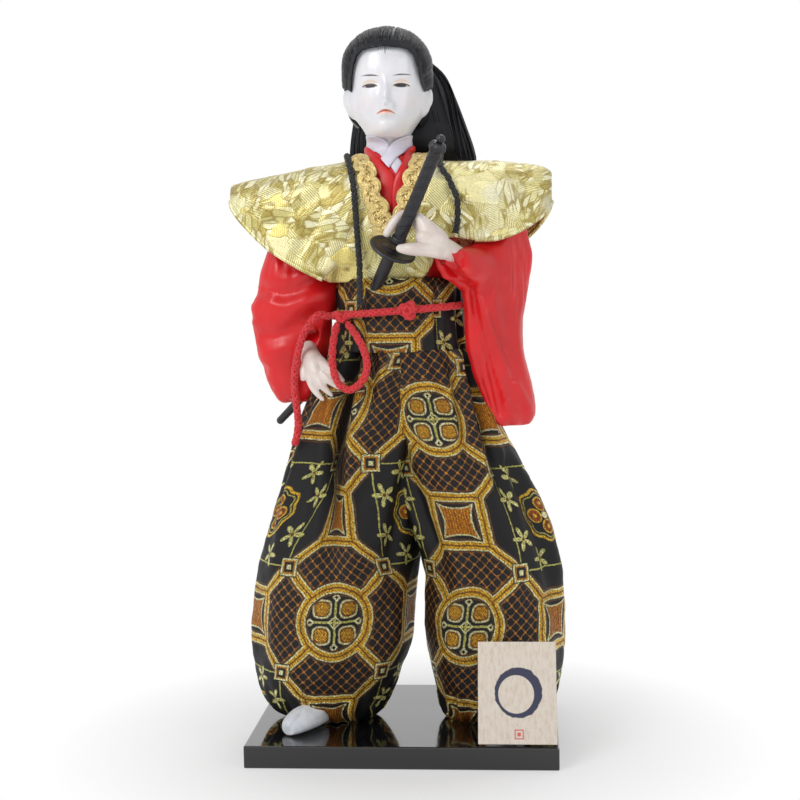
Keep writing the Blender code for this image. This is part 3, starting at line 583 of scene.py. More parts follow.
def brocadeMaterial():
    material, t, shader = newMaterial("brocade", brocade["ground"], 0.5, Specular_IOR_Level=0.28)
    place = placeOf(t, "cloth")
    node = t.nodes.new("ShaderNodeGroup")
    node.node_tree = brocadeGroup()
    t.links.new(moved(t, place, 0.25, 0.8), node.inputs[0])
    colour = node.outputs[0]
    threads = speckle(t, sized(t, place, 1.0, 2.6, 1.0), 1.5, 2.0, 0.6)
    colour = tinted(t, colour, ramp(t, threads, (0.36, (0.12,) * 3), (0.64, (1.6,) * 3)))
    glint = speckle(t, sized(t, place, 1.6, 0.8, 1.0), 0.9, 3.0, 0.7)
    colour = tinted(t, colour, ramp(t, glint, (0.38, (0.42,) * 3), (0.62, (1.75,) * 3)))
    broad = speckle(t, place, 0.06, 2.0)
    colour = tinted(t, colour, ramp(t, broad, (0.3, (0.8,) * 3), (0.7, (1.15,) * 3)))
    dent = t.nodes.new("ShaderNodeAttribute")      # painted shade: cloth deep in a fold is darkened towards the ground colour
    dent.attribute_name = "dent"
    colour = blendColour(t, dent.outputs["Fac"], colour, brocade["ground"])
    feed(shader, "Base Color", colour)
    grey = t.nodes.new("ShaderNodeRGBToBW")
    t.links.new(colour, grey.inputs[0])
    feed(shader, "Metallic", spread(t, grey.outputs[0], 0.03, 0.25, 0.0, 0.75))
    feed(shader, "Roughness", spread(t, grey.outputs[0], 0.02, 0.3, 0.55, 0.34))
    rib = calc(t, "PINGPONG", axes(t, place)[1], 0.22)
    height = plus(t, times(t, grey.outputs[0], 1.2),
                  plus(t, times(t, rib, 1.2), times(t, threads, 0.5)))
    raised(t, shader, height, 0.28, 0.8)
    return material


# Pale gold figured cloth: leaves and blossoms in fine slanting threads.
def figuredGoldMaterial():
    material, t, shader = newMaterial("figuredGold", paint(214, 206, 140), 0.36, 0.5, Sheen_Weight=0.1)
    place = placeOf(t)
    bent = moved(t, place, 0.09, 9.0)
    size = 0.07
    gap = cells(t, bent, size, "DISTANCE_TO_EDGE")
    tone = cells(t, bent, size, "F1", "Color")
    pick, tilt, _ = axes(t, tone)
    x, y, z = axes(t, place)
    flat = plus(t, times(t, y, 0.6), z)
    lean = calc(t, "MULTIPLY_ADD", tilt, 2.6, -1.3)
    slant = plus(t, times(t, x, calc(t, "COSINE", lean)), times(t, flat, calc(t, "SINE", lean)))
    hatch = under(t, calc(t, "PINGPONG", slant, 0.44), 0.17, 0.22)
    line = under(t, gap, 0.014, 0.04)
    swing = calc(t, "MULTIPLY_ADD", tilt, 4.4, -2.6)
    run = plus(t, times(t, x, calc(t, "COSINE", swing)), times(t, flat, calc(t, "SINE", swing)))
    rise = minus(t, times(t, flat, calc(t, "COSINE", swing)), times(t, x, calc(t, "SINE", swing)))
    slender = together(t, times(t, run, 0.13), times(t, rise, 0.5), 0.0)
    leafGap = cells(t, slender, 1.0, "DISTANCE_TO_EDGE")
    leafTone = axes(t, cells(t, slender, 1.0, "F1", "Color"))[0]
    grown = minus(t, 1.0, under(t, speckle(t, place, 0.075, 2.0), 0.47, 0.06))
    leaf = both(t, grown, under(t, leafGap, 0.08, 0.08))
    colour = ramp(t, pick, (0.0, paint(222, 212, 142)), (0.35, paint(236, 228, 168)),
                  (0.6, paint(244, 238, 190)), (1.0, paint(228, 210, 122)))
    colour = blendColour(t, both(t, hatch, under(t, pick, 0.6, 0.1), 0.85), colour, paint(170, 156, 88))
    leaves = ramp(t, leafTone, (0.2, paint(176, 158, 76)), (0.5, paint(216, 208, 140)),
                  (0.8, paint(242, 238, 200)))
    colour = blendColour(t, both(t, grown, 0.85), colour, leaves)
    colour = blendColour(t, both(t, leaf, 0.75), colour, paint(150, 128, 48))
    colour = blendColour(t, both(t, line, 0.3), colour, paint(170, 150, 70))
    blossom = under(t, cells(t, moved(t, place, 0.3, 2.0), 0.05), 0.2, 0.16)
    colour = blendColour(t, both(t, blossom, 0.6), colour, paint(230, 230, 208))
    threads = speckle(t, sized(t, place, 1.0, 1.0, 3.0), 1.3, 2.0, 0.6)
    colour = tinted(t, colour, ramp(t, threads, (0.3, (0.72,) * 3), (0.7, (1.16,) * 3)))
    feed(shader, "Base Color", colour)
    feed(shader, "Roughness", spread(t, threads, 0.3, 0.7, 0.3, 0.46))
    height = plus(t, times(t, hatch, -0.5), times(t, threads, 0.7))
    height = plus(t, height, times(t, line, -1.2))
    raised(t, shader, height, 0.16, 0.8)
    return material


def satinMaterial(name, colour, bright, rough=0.3):
    material, t, shader = newMaterial(name, colour, rough, Sheen_Weight=0.25, Sheen_Roughness=0.4,
                                      Anisotropic=0.4)
    shader.inputs["Sheen Tint"].default_value = (*bright, 1.0)
    place = placeOf(t)
    soft = speckle(t, place, 0.045, 2.0)
    tone = ramp(t, soft, (0.3, tuple(c * 0.86 for c in colour)),
                (0.7, tuple(min(c * 1.1, 1.0) for c in colour)))
    feed(shader, "Base Color", tone)
    weave = speckle(t, sized(t, place, 4.0, 4.0, 1.0), 1.6, 1.0)
    feed(shader, "Roughness", spread(t, weave, 0.3, 0.7, rough - 0.04, rough + 0.06))
    raised(t, shader, weave, 0.03, 0.5)
    return material


# Thread wound along a strand: u runs along it and v round it.
def threadMaterial(name, colour, bright, rough=0.5, metal=0.0, twist=0.6):
    material, t, shader = newMaterial(name, colour, rough, metal, Sheen_Weight=0.2)
    place = placeOf(t, "cloth")
    u, v, _ = axes(t, place)
    lines = calc(t, "PINGPONG", plus(t, times(t, u, twist), v), 0.13)
    fine = spread(t, lines, 0.0, 0.13, 0.0, 1.0)
    blotch = speckle(t, placeOf(t), 1.1, 2.0)
    # painted highlight: each fine thread line runs from the base colour in its groove to the bright
    # colour on its crest
    tone = blendColour(t, fine, colour, bright)
    tone = tinted(t, tone, ramp(t, blotch, (0.3, (0.78,) * 3), (0.7, (1.12,) * 3)))
    feed(shader, "Base Color", tone)
    raised(t, shader, fine, 0.1, 0.7)
    return material


# the second colour of each thread is its painted highlight
redThread = threadMaterial("redThread", paint(210, 18, 30), paint(240, 52, 60), 0.45)
blackThread = threadMaterial("blackThread", paint(9, 9, 12), paint(26, 26, 30), 0.6)
goldThread = threadMaterial("goldThread", paint(214, 174, 84), paint(255, 240, 176), 0.3, 0.35, 0.1)
redSatin = satinMaterial("redSatin", paint(218, 20, 26), paint(255, 120, 110), 0.34)
whiteSatin = satinMaterial("whiteSatin", paint(228, 226, 240), paint(255, 255, 255), 0.45)
figuredGold = figuredGoldMaterial()
brocadeCloth = brocadeMaterial()


def lacquerMaterial():
    material, t, shader = newMaterial("blackLacquer", paint(12, 12, 16), 0.1, Coat_Weight=0.6,
                                      Coat_Roughness=0.04)
    place = placeOf(t)
    haze = speckle(t, place, 0.05, 3.0)
    dust = under(t, cells(t, place, 0.35), 0.05, 0.03)
    feed(shader, "Roughness", spread(t, haze, 0.3, 0.7, 0.07, 0.17))
    feed(shader, "Base Color", blendColour(t, both(t, dust, 0.3), paint(12, 12, 16),
                                           paint(120, 120, 126)))
    raised(t, shader, speckle(t, place, 0.12, 2.0), 0.05, 0.3)
    return material


def wireMaterial():
    material, t, shader = newMaterial("steelWire", paint(150, 150, 156), 0.35, 1.0)
    feed(shader, "Roughness", spread(t, speckle(t, placeOf(t), 0.8, 3.0), 0.3, 0.7, 0.25, 0.5))
    return material


# The sign's bare wood with a plain ink ring and a small plain red square.
sign = {
    "x": 46.2, "ringZ": 29.0, "ringRadius": 8.2, "squareAt": (0.6, -15.0),
    "slope": 0.3443, "foot": -49.0,    # its front leans back from this Y
    "ink": paint(40, 44, 70), "red": paint(206, 60, 48),
}


def signMaterial():
    material, t, shader = newMaterial("signWood", paint(228, 218, 204), 0.55, Coat_Weight=0.1)
    place = placeOf(t)
    x, y, z = axes(t, place)
    grain = speckle(t, sized(t, moved(t, place, 0.05, 1.5), 1.0, 1.0, 0.06), 0.9, 4.0, 0.6)
    wood = ramp(t, grain, (0.25, paint(208, 192, 170)), (0.5, paint(224, 212, 198)),
                (0.8, paint(232, 224, 212)))
    fine = speckle(t, sized(t, place, 6.0, 6.0, 0.4), 1.2, 2.0)
    wood = tinted(t, wood, ramp(t, fine, (0.3, (0.92,) * 3), (0.7, (1.04,) * 3)))
    front = under(t, minus(t, y, calc(t, "MULTIPLY_ADD", z, sign["slope"], sign["foot"])), 0.0, 0.2)
    px = minus(t, x, sign["x"])
    pz = minus(t, z, sign["ringZ"])
    ragged = calc(t, "MULTIPLY_ADD", speckle(t, place, 0.5, 4.0), 2.2, -1.1)
    far = longer(t, px, pz)
    angle = calc(t, "ARCTAN2", pz, px)
    thick = calc(t, "MULTIPLY_ADD", calc(t, "SINE", plus(t, angle, 0.9)), 0.55, 1.15)
    inkRadius = plus(t, sign["ringRadius"], times(t, ragged, 0.25))
    stroke = minus(t, positive(t, minus(t, far, inkRadius)), plus(t, thick, times(t, ragged, 0.3)))
    ink = both(t, under(t, stroke, 0.0, 0.25), front)
    colour = blendColour(t, ink, wood, sign["ink"])
    sx, sz = away(t, px, sign["squareAt"][0]), away(t, pz, sign["squareAt"][1])
    box = calc(t, "MAXIMUM", sx, sz)
    seal = both(t, calc(t, "MAXIMUM", ringOf(t, box, 1.35, 1.8, 0.2), under(t, box, 0.7, 0.2)), front)
    colour = blendColour(t, both(t, seal, 0.85), colour, sign["red"])
    feed(shader, "Base Color", colour)
    raised(t, shader, grain, 0.08, 0.4)
    return material


def swordBlackMaterial():              # moulded, slightly worn in patches
    material, t, shader = newMaterial("swordBlack", paint(20, 20, 24), 0.38)
    place = placeOf(t)
    wear = speckle(t, place, 0.4, 4.0, 0.6)
    feed(shader, "Base Color", ramp(t, wear, (0.3, paint(12, 12, 15)), (0.75, paint(34, 34, 42))))
    feed(shader, "Roughness", spread(t, wear, 0.3, 0.7, 0.28, 0.5))
    raised(t, shader, speckle(t, place, 2.5, 2.0), 0.06, 0.5)
    return material


def hairMaterial():
    material, t, shader = newMaterial("blackHair", paint(10, 10, 14), 0.4, Specular_IOR_Level=0.3)
    place = placeOf(t, "cloth")
    fine = speckle(t, sized(t, place, 7.0, 0.22, 1.0), 1.3, 3.0, 0.65)
    feed(shader, "Base Color", ramp(t, fine, (0.3, paint(3, 3, 5)), (0.72, paint(26, 28, 36))))
    feed(shader, "Roughness", spread(t, fine, 0.3, 0.7, 0.26, 0.46))
    raised(t, shader, fine, 0.35, 0.9)
    return material


def sockMaterial():
    material, t, shader = newMaterial("whiteCotton", paint(226, 230, 236), 0.75, Sheen_Weight=0.3)
    place = placeOf(t)
    weave = plus(t, calc(t, "PINGPONG", axes(t, place)[0], 0.2),
                 calc(t, "PINGPONG", axes(t, place)[2], 0.2))
    soft = speckle(t, place, 0.3, 3.0)
    feed(shader, "Base Color", ramp(t, soft, (0.3, paint(206, 212, 222)), (0.7, paint(236, 238, 242))))
    raised(t, shader, weave, 0.12, 0.4)
    return material


blackLacquer = lacquerMaterial()
steelWire = wireMaterial()
signWood = signMaterial()
swordBlack = swordBlackMaterial()
blackHair = hairMaterial()
whiteCotton = sockMaterial()
print("materials ready:", len(bpy.data.materials))


# cords: routes in millimetres; the neck cord's lies closer to the plait than its solid
redCord = {"radius": 1.5, "strands": 8, "pitch": 10.0, "strand": 0.78, "step": 0.55}
blackCord = {"radius": 1.25, "strands": 8, "pitch": 7.5, "strand": 0.52, "step": 0.5}
ringRoute = [(27.8, 0.0, 182.1), (27.37, 4.06, 182.07), (26.09, 8.0, 181.99), (24.0, 11.7, 181.85),
             (21.16, 15.04, 181.66), (17.66, 17.93, 181.42), (13.6, 20.26, 181.15),
             (9.11, 21.99, 180.85), (4.33, 23.04, 180.53), (-0.6, 23.4, 180.2),
             (-5.53, 23.04, 179.87), (-10.31, 21.99, 179.55), (-14.8, 20.26, 179.25),
             (-18.86, 17.93, 178.98), (-22.36, 15.04, 178.74), (-25.2, 11.7, 178.55),
             (-27.29, 8.0, 178.41), (-28.64, 4.08, 178.33), (-29.1, 0.0, 178.31),
             (-28.64, -4.08, 178.33), (-27.29, -8.0, 178.41), (-25.2, -11.7, 178.55),
             (-22.36, -15.04, 178.74), (-18.86, -17.93, 178.98), (-14.8, -20.26, 179.25),
             (-10.31, -21.99, 179.55), (-5.53, -23.04, 179.87), (-0.6, -23.4, 180.2),
             (4.33, -23.04, 180.53), (9.11, -21.99, 180.85), (13.6, -20.26, 181.15),
             (17.66, -17.93, 181.42), (21.16, -15.04, 181.66), (24.0, -11.7, 181.85),
             (26.09, -8.0, 181.99), (27.37, -4.06, 182.07)]
tailRoute = [(-28.55, -15.0, 178.3), (-32.98, -17.31, 178.83), (-36.6, -17.35, 175.3),
             (-39.26, -16.71, 170.98), (-41.04, -15.72, 166.29), (-42.29, -15.66, 161.33),
             (-43.08, -16.03, 156.28), (-43.42, -16.31, 151.18), (-43.08, -16.67, 146.08),
             (-42.5, -17.08, 141.01), (-42.02, -17.53, 135.93), (-42.38, -17.9, 130.84),
             (-43.6, -18.4, 125.9)]
loopRoute = [(-25.4, -15.6, 175.1), (-26.17, -17.98, 171.37), (-26.68, -20.03, 167.41),
             (-26.93, -21.62, 163.22), (-26.75, -23.12, 158.99), (-25.76, -24.67, 154.9),
             (-23.8, -25.93, 151.09), (-20.14, -26.46, 148.9), (-16.12, -26.6, 150.73),
             (-13.4, -26.53, 154.26), (-12.44, -26.27, 158.59), (-13.1, -25.77, 163.0),
             (-14.75, -24.55, 166.98), (-16.88, -22.43, 170.28), (-18.95, -19.32, 172.77),
             (-21.0, -16.0, 175.0)]
neckRoute = [(-15.2, -23.4, 182.6), (-15.1, -23.3, 187.6), (-15.2, -21.8, 193.6), (-15.4, -20.0, 199.6),
             (-15.8, -19.4, 205.4), (-16.0, -19.4, 208.6), (-16.3, -19.5, 213.34),
             (-16.5, -19.5, 218.25), (-16.8, -19.5, 223.16), (-17.1, -19.5, 227.95),
             (-17.6, -18.7, 232.0), (-18.3, -17.3, 235.4), (-19.3, -14.2, 238.9),
             (-20.2, -10.5, 241.4), (-21.0, -6.9, 243.1), (-21.6, -1.8, 243.9), (-21.8, 2.4, 244.1),
             (-21.6, 7.2, 243.2), (-20.8, 10.9, 242.0), (-19.4, 14.7, 240.1), (-17.38, 17.36, 237.5),
             (-14.46, 19.89, 234.56), (-11.13, 20.49, 232.65), (-6.66, 20.88, 231.45),
             (-1.82, 20.85, 231.55), (3.09, 20.73, 231.67), (7.35, 20.16, 233.44),
             (10.14, 18.93, 235.5), (12.54, 16.02, 238.62), (14.49, 12.68, 240.61),
             (16.04, 8.4, 242.59), (16.58, 4.22, 243.19), (16.85, 0.12, 243.54),
             (17.07, -4.69, 242.74), (17.14, -8.75, 241.31), (17.58, -13.54, 238.53),
             (18.95, -15.72, 235.73), (20.78, -17.52, 233.33), (22.49, -18.63, 229.18),
             (24.03, -19.2, 225.68), (24.51, -19.18, 220.78), (24.27, -19.19, 215.85),
             (23.38, -19.23, 211.0)]


# Rings of points, as an array, skinned into one closed mesh with the cloth UV in millimetres.
def skin(name, rings, closed=False, along=None):
    rings = np.array(rings, float)
    n, k = rings.shape[:2]
    faces = [(i * k + j, i * k + (j + 1) % k, (i + 1) % n * k + (j + 1) % k, (i + 1) % n * k + j)
             for i in range(n if closed else n - 1) for j in range(k)]
    if not closed:
        faces += [tuple(reversed(range(k))), tuple(range((n - 1) * k, n * k))]
    mesh = bpy.data.meshes.new(name)
    mesh.from_pydata((rings.reshape(-1, 3) * mm).tolist(), [], faces)
    far = np.linalg.norm(np.diff(rings[:, 0], axis=0), axis=1)
    far = np.concatenate([[0.0], np.cumsum(far)]) if along is None else np.array(along)
    roundStep = np.linalg.norm(np.roll(rings, -1, axis=1) - rings, axis=2).sum(axis=1).mean() / k
    cloth = mesh.uv_layers.new(name="cloth")
    spot = 0
    for i in range(n if closed else n - 1):
        for j in range(k):
            for di, dj in ((0, 0), (0, 1), (1, 1), (1, 0)):
                u = far[i + di] if i + di < n else far[-1] + (far[-1] - far[-2])
                cloth.data[spot].uv = (u / clothUnit, (j + dj) * roundStep / clothUnit)
                spot += 1
    obj = bpy.data.objects.new(name, mesh)
    bpy.context.scene.collection.objects.link(obj)
    return outward(obj)


def framesAlong(points, closed=False, side=None):
    n = len(points)
    if closed:
        ahead = np.roll(points, -1, axis=0) - np.roll(points, 1, axis=0)
    else:
        ahead = np.gradient(points, axis=0)
    ahead /= np.linalg.norm(ahead, axis=1)[:, None]
    sides = np.zeros((n, 3))
    last = np.array(side if side is not None else (0.0, 0.0, 1.0), float)
    if abs(ahead[0] @ last) > 0.95:
        last = np.array((1.0, 0.0, 0.0))
    for i in range(n):
        last = last - ahead[i] * (last @ ahead[i])
        last /= np.linalg.norm(last)
        sides[i] = last
    if closed:                         # spread the twist so that the ends meet
        end = sides[-1] - ahead[0] * (sides[-1] @ ahead[0])
        end /= np.linalg.norm(end)
        twist = math.atan2(np.cross(end, sides[0]) @ ahead[0], end @ sides[0])
        turn = np.linspace(0.0, twist, n)[:, None]
        sides = sides * np.cos(turn) + np.cross(ahead, sides) * np.sin(turn)
    return ahead, sides, np.cross(ahead, sides)


# A round braid: strands cross over and under round a plain core.
def braidedCord(name, route, form, closed=False, taper=0.0):
    route = list(route) + ([route[0]] if closed else [])
    if closed:
        padded = np.array(route[-4:-1] + route + route[1:4], float)
        line = smoothRows(padded, 12 * len(padded))
        first = np.argmin(np.linalg.norm(line[:60] - padded[3], axis=1))
        last = len(line) - 60 + np.argmin(np.linalg.norm(line[-60:] - padded[3], axis=1))
        line = evenly(line[first:last + 1], form["step"])[:-1]
    else:
        line = evenly(smoothRows(route, 12 * len(route)), form["step"])
    ahead, side, up = framesAlong(line, closed)
    n, r, half = len(line), form["radius"], form["strands"] // 2
    length = n * form["step"]
    turns = max(1, round(length / form["pitch"])) if closed else length / form["pitch"]
    t = np.arange(n) / n * turns * 2.0 * math.pi
    swell = 1.0 - taper * (np.arange(n) / n) ** 4
    pieces = []
    for way in (1, -1):
        for s in range(half):
            start = 2.0 * math.pi * s / half
            a = way * t + start
            weave = np.cos(half * t + way * math.pi / 2.0 + math.pi * s) * 0.15
            reach = (r * (0.7 + weave) * swell)[:, None]
            strandLine = line + (side * np.cos(a)[:, None] + up * np.sin(a)[:, None]) * reach
            go, _, _ = framesAlong(strandLine, closed)
            out = strandLine - line
            out /= np.linalg.norm(out, axis=1)[:, None]
            flat = np.cross(go, out)
            rings = [[strandLine[i] + out[i] * (0.3 * r * math.cos(b))
                      + flat[i] * (0.5 * form["strand"] * r * math.sin(b))
                      for b in turnAngles(6)] for i in range(n)]
            pieces.append(skin(name, rings, closed))
    core = [[line[i] + (side[i] * math.cos(b) + up[i] * math.sin(b)) * 0.58 * r * swell[i]
             for b in turnAngles(8)] for i in range(n)]
    pieces.append(skin(name, core, closed))
    cord = smooth(joined(name, pieces))
    return cord, line


def freeCord(name, route, form, material, slotName, node):
    cord, line = braidedCord(name, route, form)
    dress(cord, material, slotName, node)
    return cord


freeCord("red_tail", tailRoute, redCord, redThread, "red_cord", "cord_tail")
freeCord("red_loop", loopRoute, redCord, redThread, "red_cord", "cord_loop")
freeCord("black_neck_cord", neckRoute, blackCord, blackThread, "black_cord", "neck_cord")
belt, _ = braidedCord("red_belt", ringRoute, redCord, closed=True)
dress(belt, redThread, "red_cord", "waist_cord")

# the two knots, each the same cord tied round itself
knots = {
    "front": {"node": "waist_knot", "size": (3.0, 1.7, 2.9), "turn": 24.0},
    "side": {"node": "side_knot", "size": (3.3, 1.6, 1.5), "turn": 8.0},
}
for name, form in knots.items():
    low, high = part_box(form["node"])
    centre = [(a + b) / 2.0 / mm for a, b in zip(low, high)]
    sx, sy, sz = form["size"]
    turn = math.radians(form["turn"])
    route = []
    for a in turnAngles(48):
        x = (math.sin(a) + 2.0 * math.sin(2.0 * a)) / 3.0
        z = (math.cos(a) - 2.0 * math.cos(2.0 * a)) / 3.0
        y = -math.sin(3.0 * a)
        x, z = x * math.cos(turn) - z * math.sin(turn), x * math.sin(turn) + z * math.cos(turn)
        route.append((centre[0] + x * sx, centre[1] + y * sy * 0.5 - 0.4, centre[2] + z * sz))
    knot, _ = braidedCord("red_knot_" + name, route, dict(redCord, radius=1.42, pitch=8.0), closed=True)
    dress(knot, redThread, "red_cord", form["node"])
print("cords ready")


# The trousers: each leg is a flat cloth wrapped round and sewn at the inner back.
trousers = {
    "right": ((9.5, -50.0, -14.0, -2.0, 15.0), (13.0, -57.0, -9.5, -2.0, 20.0),
              (18.0, -61.3, -6.6, -1.5, 24.0), (27.0, -64.0, -3.0, -1.0, 27.5),
              (41.0, -65.1, 2.0, -1.0, 29.5), (58.0, -64.6, 3.6, 0.0, 30.0),
              (75.0, -62.1, 5.4, 0.0, 29.3), (100.0, -55.1, 9.0, 0.0, 27.5),
              (126.0, -46.5, 13.0, 0.0, 25.5), (146.0, -38.0, 17.0, 0.0, 23.0),
              (164.2, -29.3, 22.0, 0.0, 21.0)),
    "left": ((9.5, 50.0, 16.0, -2.0, 15.0), (13.0, 57.5, 13.5, -2.0, 20.0),
             (18.0, 62.0, 12.2, -1.5, 24.0), (27.0, 64.8, 10.8, -1.0, 27.5),
             (43.0, 66.3, 7.8, -1.0, 29.5), (60.0, 66.0, 6.8, 0.0, 30.0),
             (75.0, 64.3, 6.8, 0.0, 29.3), (100.0, 56.3, -2.0, 0.0, 27.5),
             (126.0, 43.5, -8.0, 0.0, 25.5), (146.0, 35.0, -14.0, 0.0, 23.0),
             (164.2, 28.0, -20.0, 0.0, 21.0)),
    "around": 250, "up": 120,
    "pleats": (23.0, 0.55, 1.1),       # how many, and half their depth at the waist and the hem
    # folds: top Z, low Z, place at the top and low end in degrees, depth, half width, hidden cloth
    "rightFolds": ((168.0, 66.0, -124.0, -84.0, 6.4, 6.0, 30.0),
                   (168.0, 132.0, -108.0, -82.0, 2.6, 4.0, 5.0),
                   (168.0, 60.0, -160.0, -150.0, 2.2, 6.0, 3.0),
                   (150.0, 52.0, -40.0, -52.0, 2.0, 7.0, 2.0),
                   (168.0, 84.0, 160.0, 150.0, 3.0, 6.0, 6.0),
                   (168.0, 66.0, 118.0, 112.0, 2.6, 6.0, 4.0),
                   (110.0, 24.0, -122.0, -112.0, 1.3, 9.0, 0.0),
                   (80.0, 14.0, -64.0, -76.0, 1.5, 7.0, 0.0),
                   (100.0, 18.0, 172.0, 180.0, 1.6, 8.0, 0.0),
                   (92.0, 20.0, 84.0, 96.0, 1.8, 8.0, 0.0)),
    "leftFolds": ((168.0, 86.0, -26.0, -64.0, 5.6, 5.6, 10.0),
                  (168.0, 104.0, -44.0, -84.0, 1.6, 4.0, 2.0),
                  (168.0, 60.0, 20.0, 28.0, 3.0, 6.0, 6.0), (168.0, 66.0, 62.0, 68.0, 2.6, 6.0, 4.0),
                  (130.0, 50.0, -136.0, -128.0, 2.0, 7.0, 2.0),
                  (116.0, 30.0, -34.0, -30.0, 1.8, 8.0, 0.0),
                  (92.0, 14.0, -100.0, -92.0, 1.3, 8.0, 0.0), (96.0, 16.0, 2.0, 8.0, 1.5, 8.0, 0.0),
                  (90.0, 20.0, 96.0, 84.0, 1.8, 8.0, 0.0)),
    # along, up, slant, and how far the cloth above has slid into the first fold
    "medallion": {"right": (3.7, 55.0, 0.0, 20.0), "left": (-10.8, 53.0, 0.13, 0.0)},
}


# A flat grid laid into shape by a table of places, with its cloth UV measured along it.
def layCloth(name, places, stretch=None, startColumn=0, startRow=0, offset=(0.0, 0.0), foldShade=None):
    rows, columns = places.shape[:2]
    bpy.ops.object.select_all(action="DESELECT")
    bpy.ops.mesh.primitive_grid_add(x_subdivisions=columns - 1, y_subdivisions=rows - 1, size=2.0)
    obj = bpy.context.object
    obj.name = obj.data.name = name
    flat = np.zeros(len(obj.data.vertices) * 3)
    obj.data.vertices.foreach_get("co", flat)
    flat = flat.reshape(-1, 3)
    i = np.rint((flat[:, 1] + 1.0) / 2.0 * (rows - 1)).astype(int)
    j = np.rint((flat[:, 0] + 1.0) / 2.0 * (columns - 1)).astype(int)
    obj.data.vertices.foreach_set("co", (places[i, j] * mm).ravel())
    across = np.linalg.norm(np.diff(places, axis=1), axis=2)
    if stretch is not None:
        across = across + stretch
    u = np.concatenate([np.zeros((rows, 1)), np.cumsum(across, axis=1)], axis=1)
    u -= u[:, startColumn][:, None]
    step = np.linalg.norm(np.diff(places[:, startColumn], axis=0), axis=1)
    v = np.concatenate([[0.0], np.cumsum(step)])
    v = np.repeat((v - v[startRow])[:, None], columns, axis=1)
    layer = obj.data.uv_layers[0]
    layer.name = "cloth"
    corner = np.zeros(len(obj.data.loops), int)
    obj.data.loops.foreach_get("vertex_index", corner)
    slantU = u + (offset[0] if np.isscalar(offset[0]) else offset[0][:, None])
    uv = np.stack([slantU[i, j][corner], (v + offset[1])[i, j][corner]], axis=1) / clothUnit
    layer.data.foreach_set("uv", uv.ravel())
    # painted shade: how far each point of the cloth is darkened in a fold, kept as the "dent" attribute
    if foldShade is not None:
        foldShadeLayer = obj.data.attributes.new("dent", "FLOAT", "POINT")
        foldShadeLayer.data.foreach_set("value", foldShade[i, j].astype(np.float32))
    obj.data.update()
    return obj


def fieldNoise(points, size, seed=0.0):
    return np.array([noise.noise(Vector((p[0] / size + seed, p[1] / size, p[2] / size)))
                     for p in points])


def ovalRings(rows, up, around, seam):
    table = smoothRows(rows, up)
    angles = seam + np.linspace(0.0, 2.0 * math.pi, around + 1)
    z, outer, inner, y, depth = (table[:, k][:, None] for k in range(5))
    half = np.abs(outer - inner) / 2.0
    a = np.repeat(angles[None], up + 1, axis=0)
    return z + 0.0 * a, (outer + inner) / 2.0, y, half, depth, a


def ovalPlaces(z, x0, y0, half, depth, a, dent):
    size = np.sqrt((half * np.cos(a)) ** 2 + (depth * np.sin(a)) ** 2)
    k = (size - dent) / size
    return np.stack([x0 + half * np.cos(a) * k, y0 + depth * np.sin(a) * k, z], axis=2)


def foldsOf(folds, a, z):
    dent, hidden = np.zeros_like(a), np.zeros_like(a)
    degrees = np.degrees(a)
    for top, low, placeTop, placeLow, depth, width, cloth in folds:
        t = (z - low) / (top - low)
        place = placeLow + (placeTop - placeLow) * np.clip(t, 0.0, 1.0)
        off = (degrees - place + 180.0) % 360.0 - 180.0
        size = smoothstep(t * 1.6) * smoothstep((top + 6.0 - z) / 6.0)
        groove = np.exp(-(off / width) ** 2)
        banks = np.exp(-((np.abs(off) - 1.9 * width) / (0.9 * width)) ** 2)
        dent += depth * size * (groove - 0.34 * banks)
        hidden += cloth * size * groove / (width * 1.772)
    return dent, hidden


def trouserCloth(side):
    form = trousers
    seam = math.radians(60.0 if side == "right" else 120.0)
    z, x0, y0, half, depth, a = ovalRings(form[side], form["up"], form["around"], seam)
    dent, hidden = foldsOf(form[side + "Folds"], a, z)
    waist = smoothstep((z - 136.0) / 26.0)
    hem = smoothstep((30.0 - z) / 18.0)
    shift = 0.6 if side == "right" else 2.1
    pleats, waistDepth, hemDepth = form["pleats"]
    dent += waist * (waistDepth + waistDepth * np.sin(pleats * a + 1.2 * np.sin(3.0 * a + shift)))
    dent += hem * (hemDepth + hemDepth * np.sin(pleats * a + 1.8 * np.sin(2.0 * a + shift)))
    body = smoothstep((z - 16.0) / 30.0) * (1.0 - 0.5 * waist)
    dent += body * (0.8 * np.sin(5.0 * a + 0.035 * z + shift) + 0.45 * np.sin(8.0 * a - 0.06 * z))
    places = ovalPlaces(z, x0, y0, half, depth, a, dent)
    points = places.reshape(-1, 3)
    crumple = (fieldNoise(points, 9.0, 3.0) * 0.55
               + fieldNoise(points, 4.0, 9.0) * 0.22).reshape(a.shape)
    outwards = np.stack([np.cos(a), np.sin(a), 0.0 * a], axis=2)
    places = places + outwards * (crumple * smoothstep((z - 9.5) / 6.0))[:, :, None]
    places[:, -1] = places[:, 0]
    degreesStep = 360.0 / form["around"]
    stretch = (hidden[:, 1:] + hidden[:, :-1]) / 2.0 * degreesStep
    front = int(round(((-90.0 - math.degrees(seam)) % 360.0) / degreesStep))
    alongAt, upAt, slant, slid = form["medallion"][side]
    row = int(np.argmin(np.abs(z[:, 0] - upAt)))
    top, low = form[side + "Folds"][0][:2]
    slide = slid * smoothstep(1.6 * (z[:, 0] - low) / (top - low))
    offset = (-alongAt + slant * (upAt - z[:, 0]) + slide, 0.0)
    # painted shade: the deepest folds above the lower legs are darkened on the brocade
    foldShade = np.clip((dent - 1.6) / 3.4, 0.0, 0.85) * smoothstep((z - 60.0) / 30.0)
    leg = layCloth("leg_" + side, places, stretch, front, row, offset, foldShade)
    editAll(leg)
    bpy.ops.mesh.remove_doubles(threshold=weldGap)
    bpy.ops.mesh.select_all(action="DESELECT")
    bpy.ops.mesh.select_mode(type="EDGE")
    bpy.ops.mesh.select_non_manifold()
    bpy.ops.mesh.edge_face_add()
    doneEditing()
    return outward(leg)


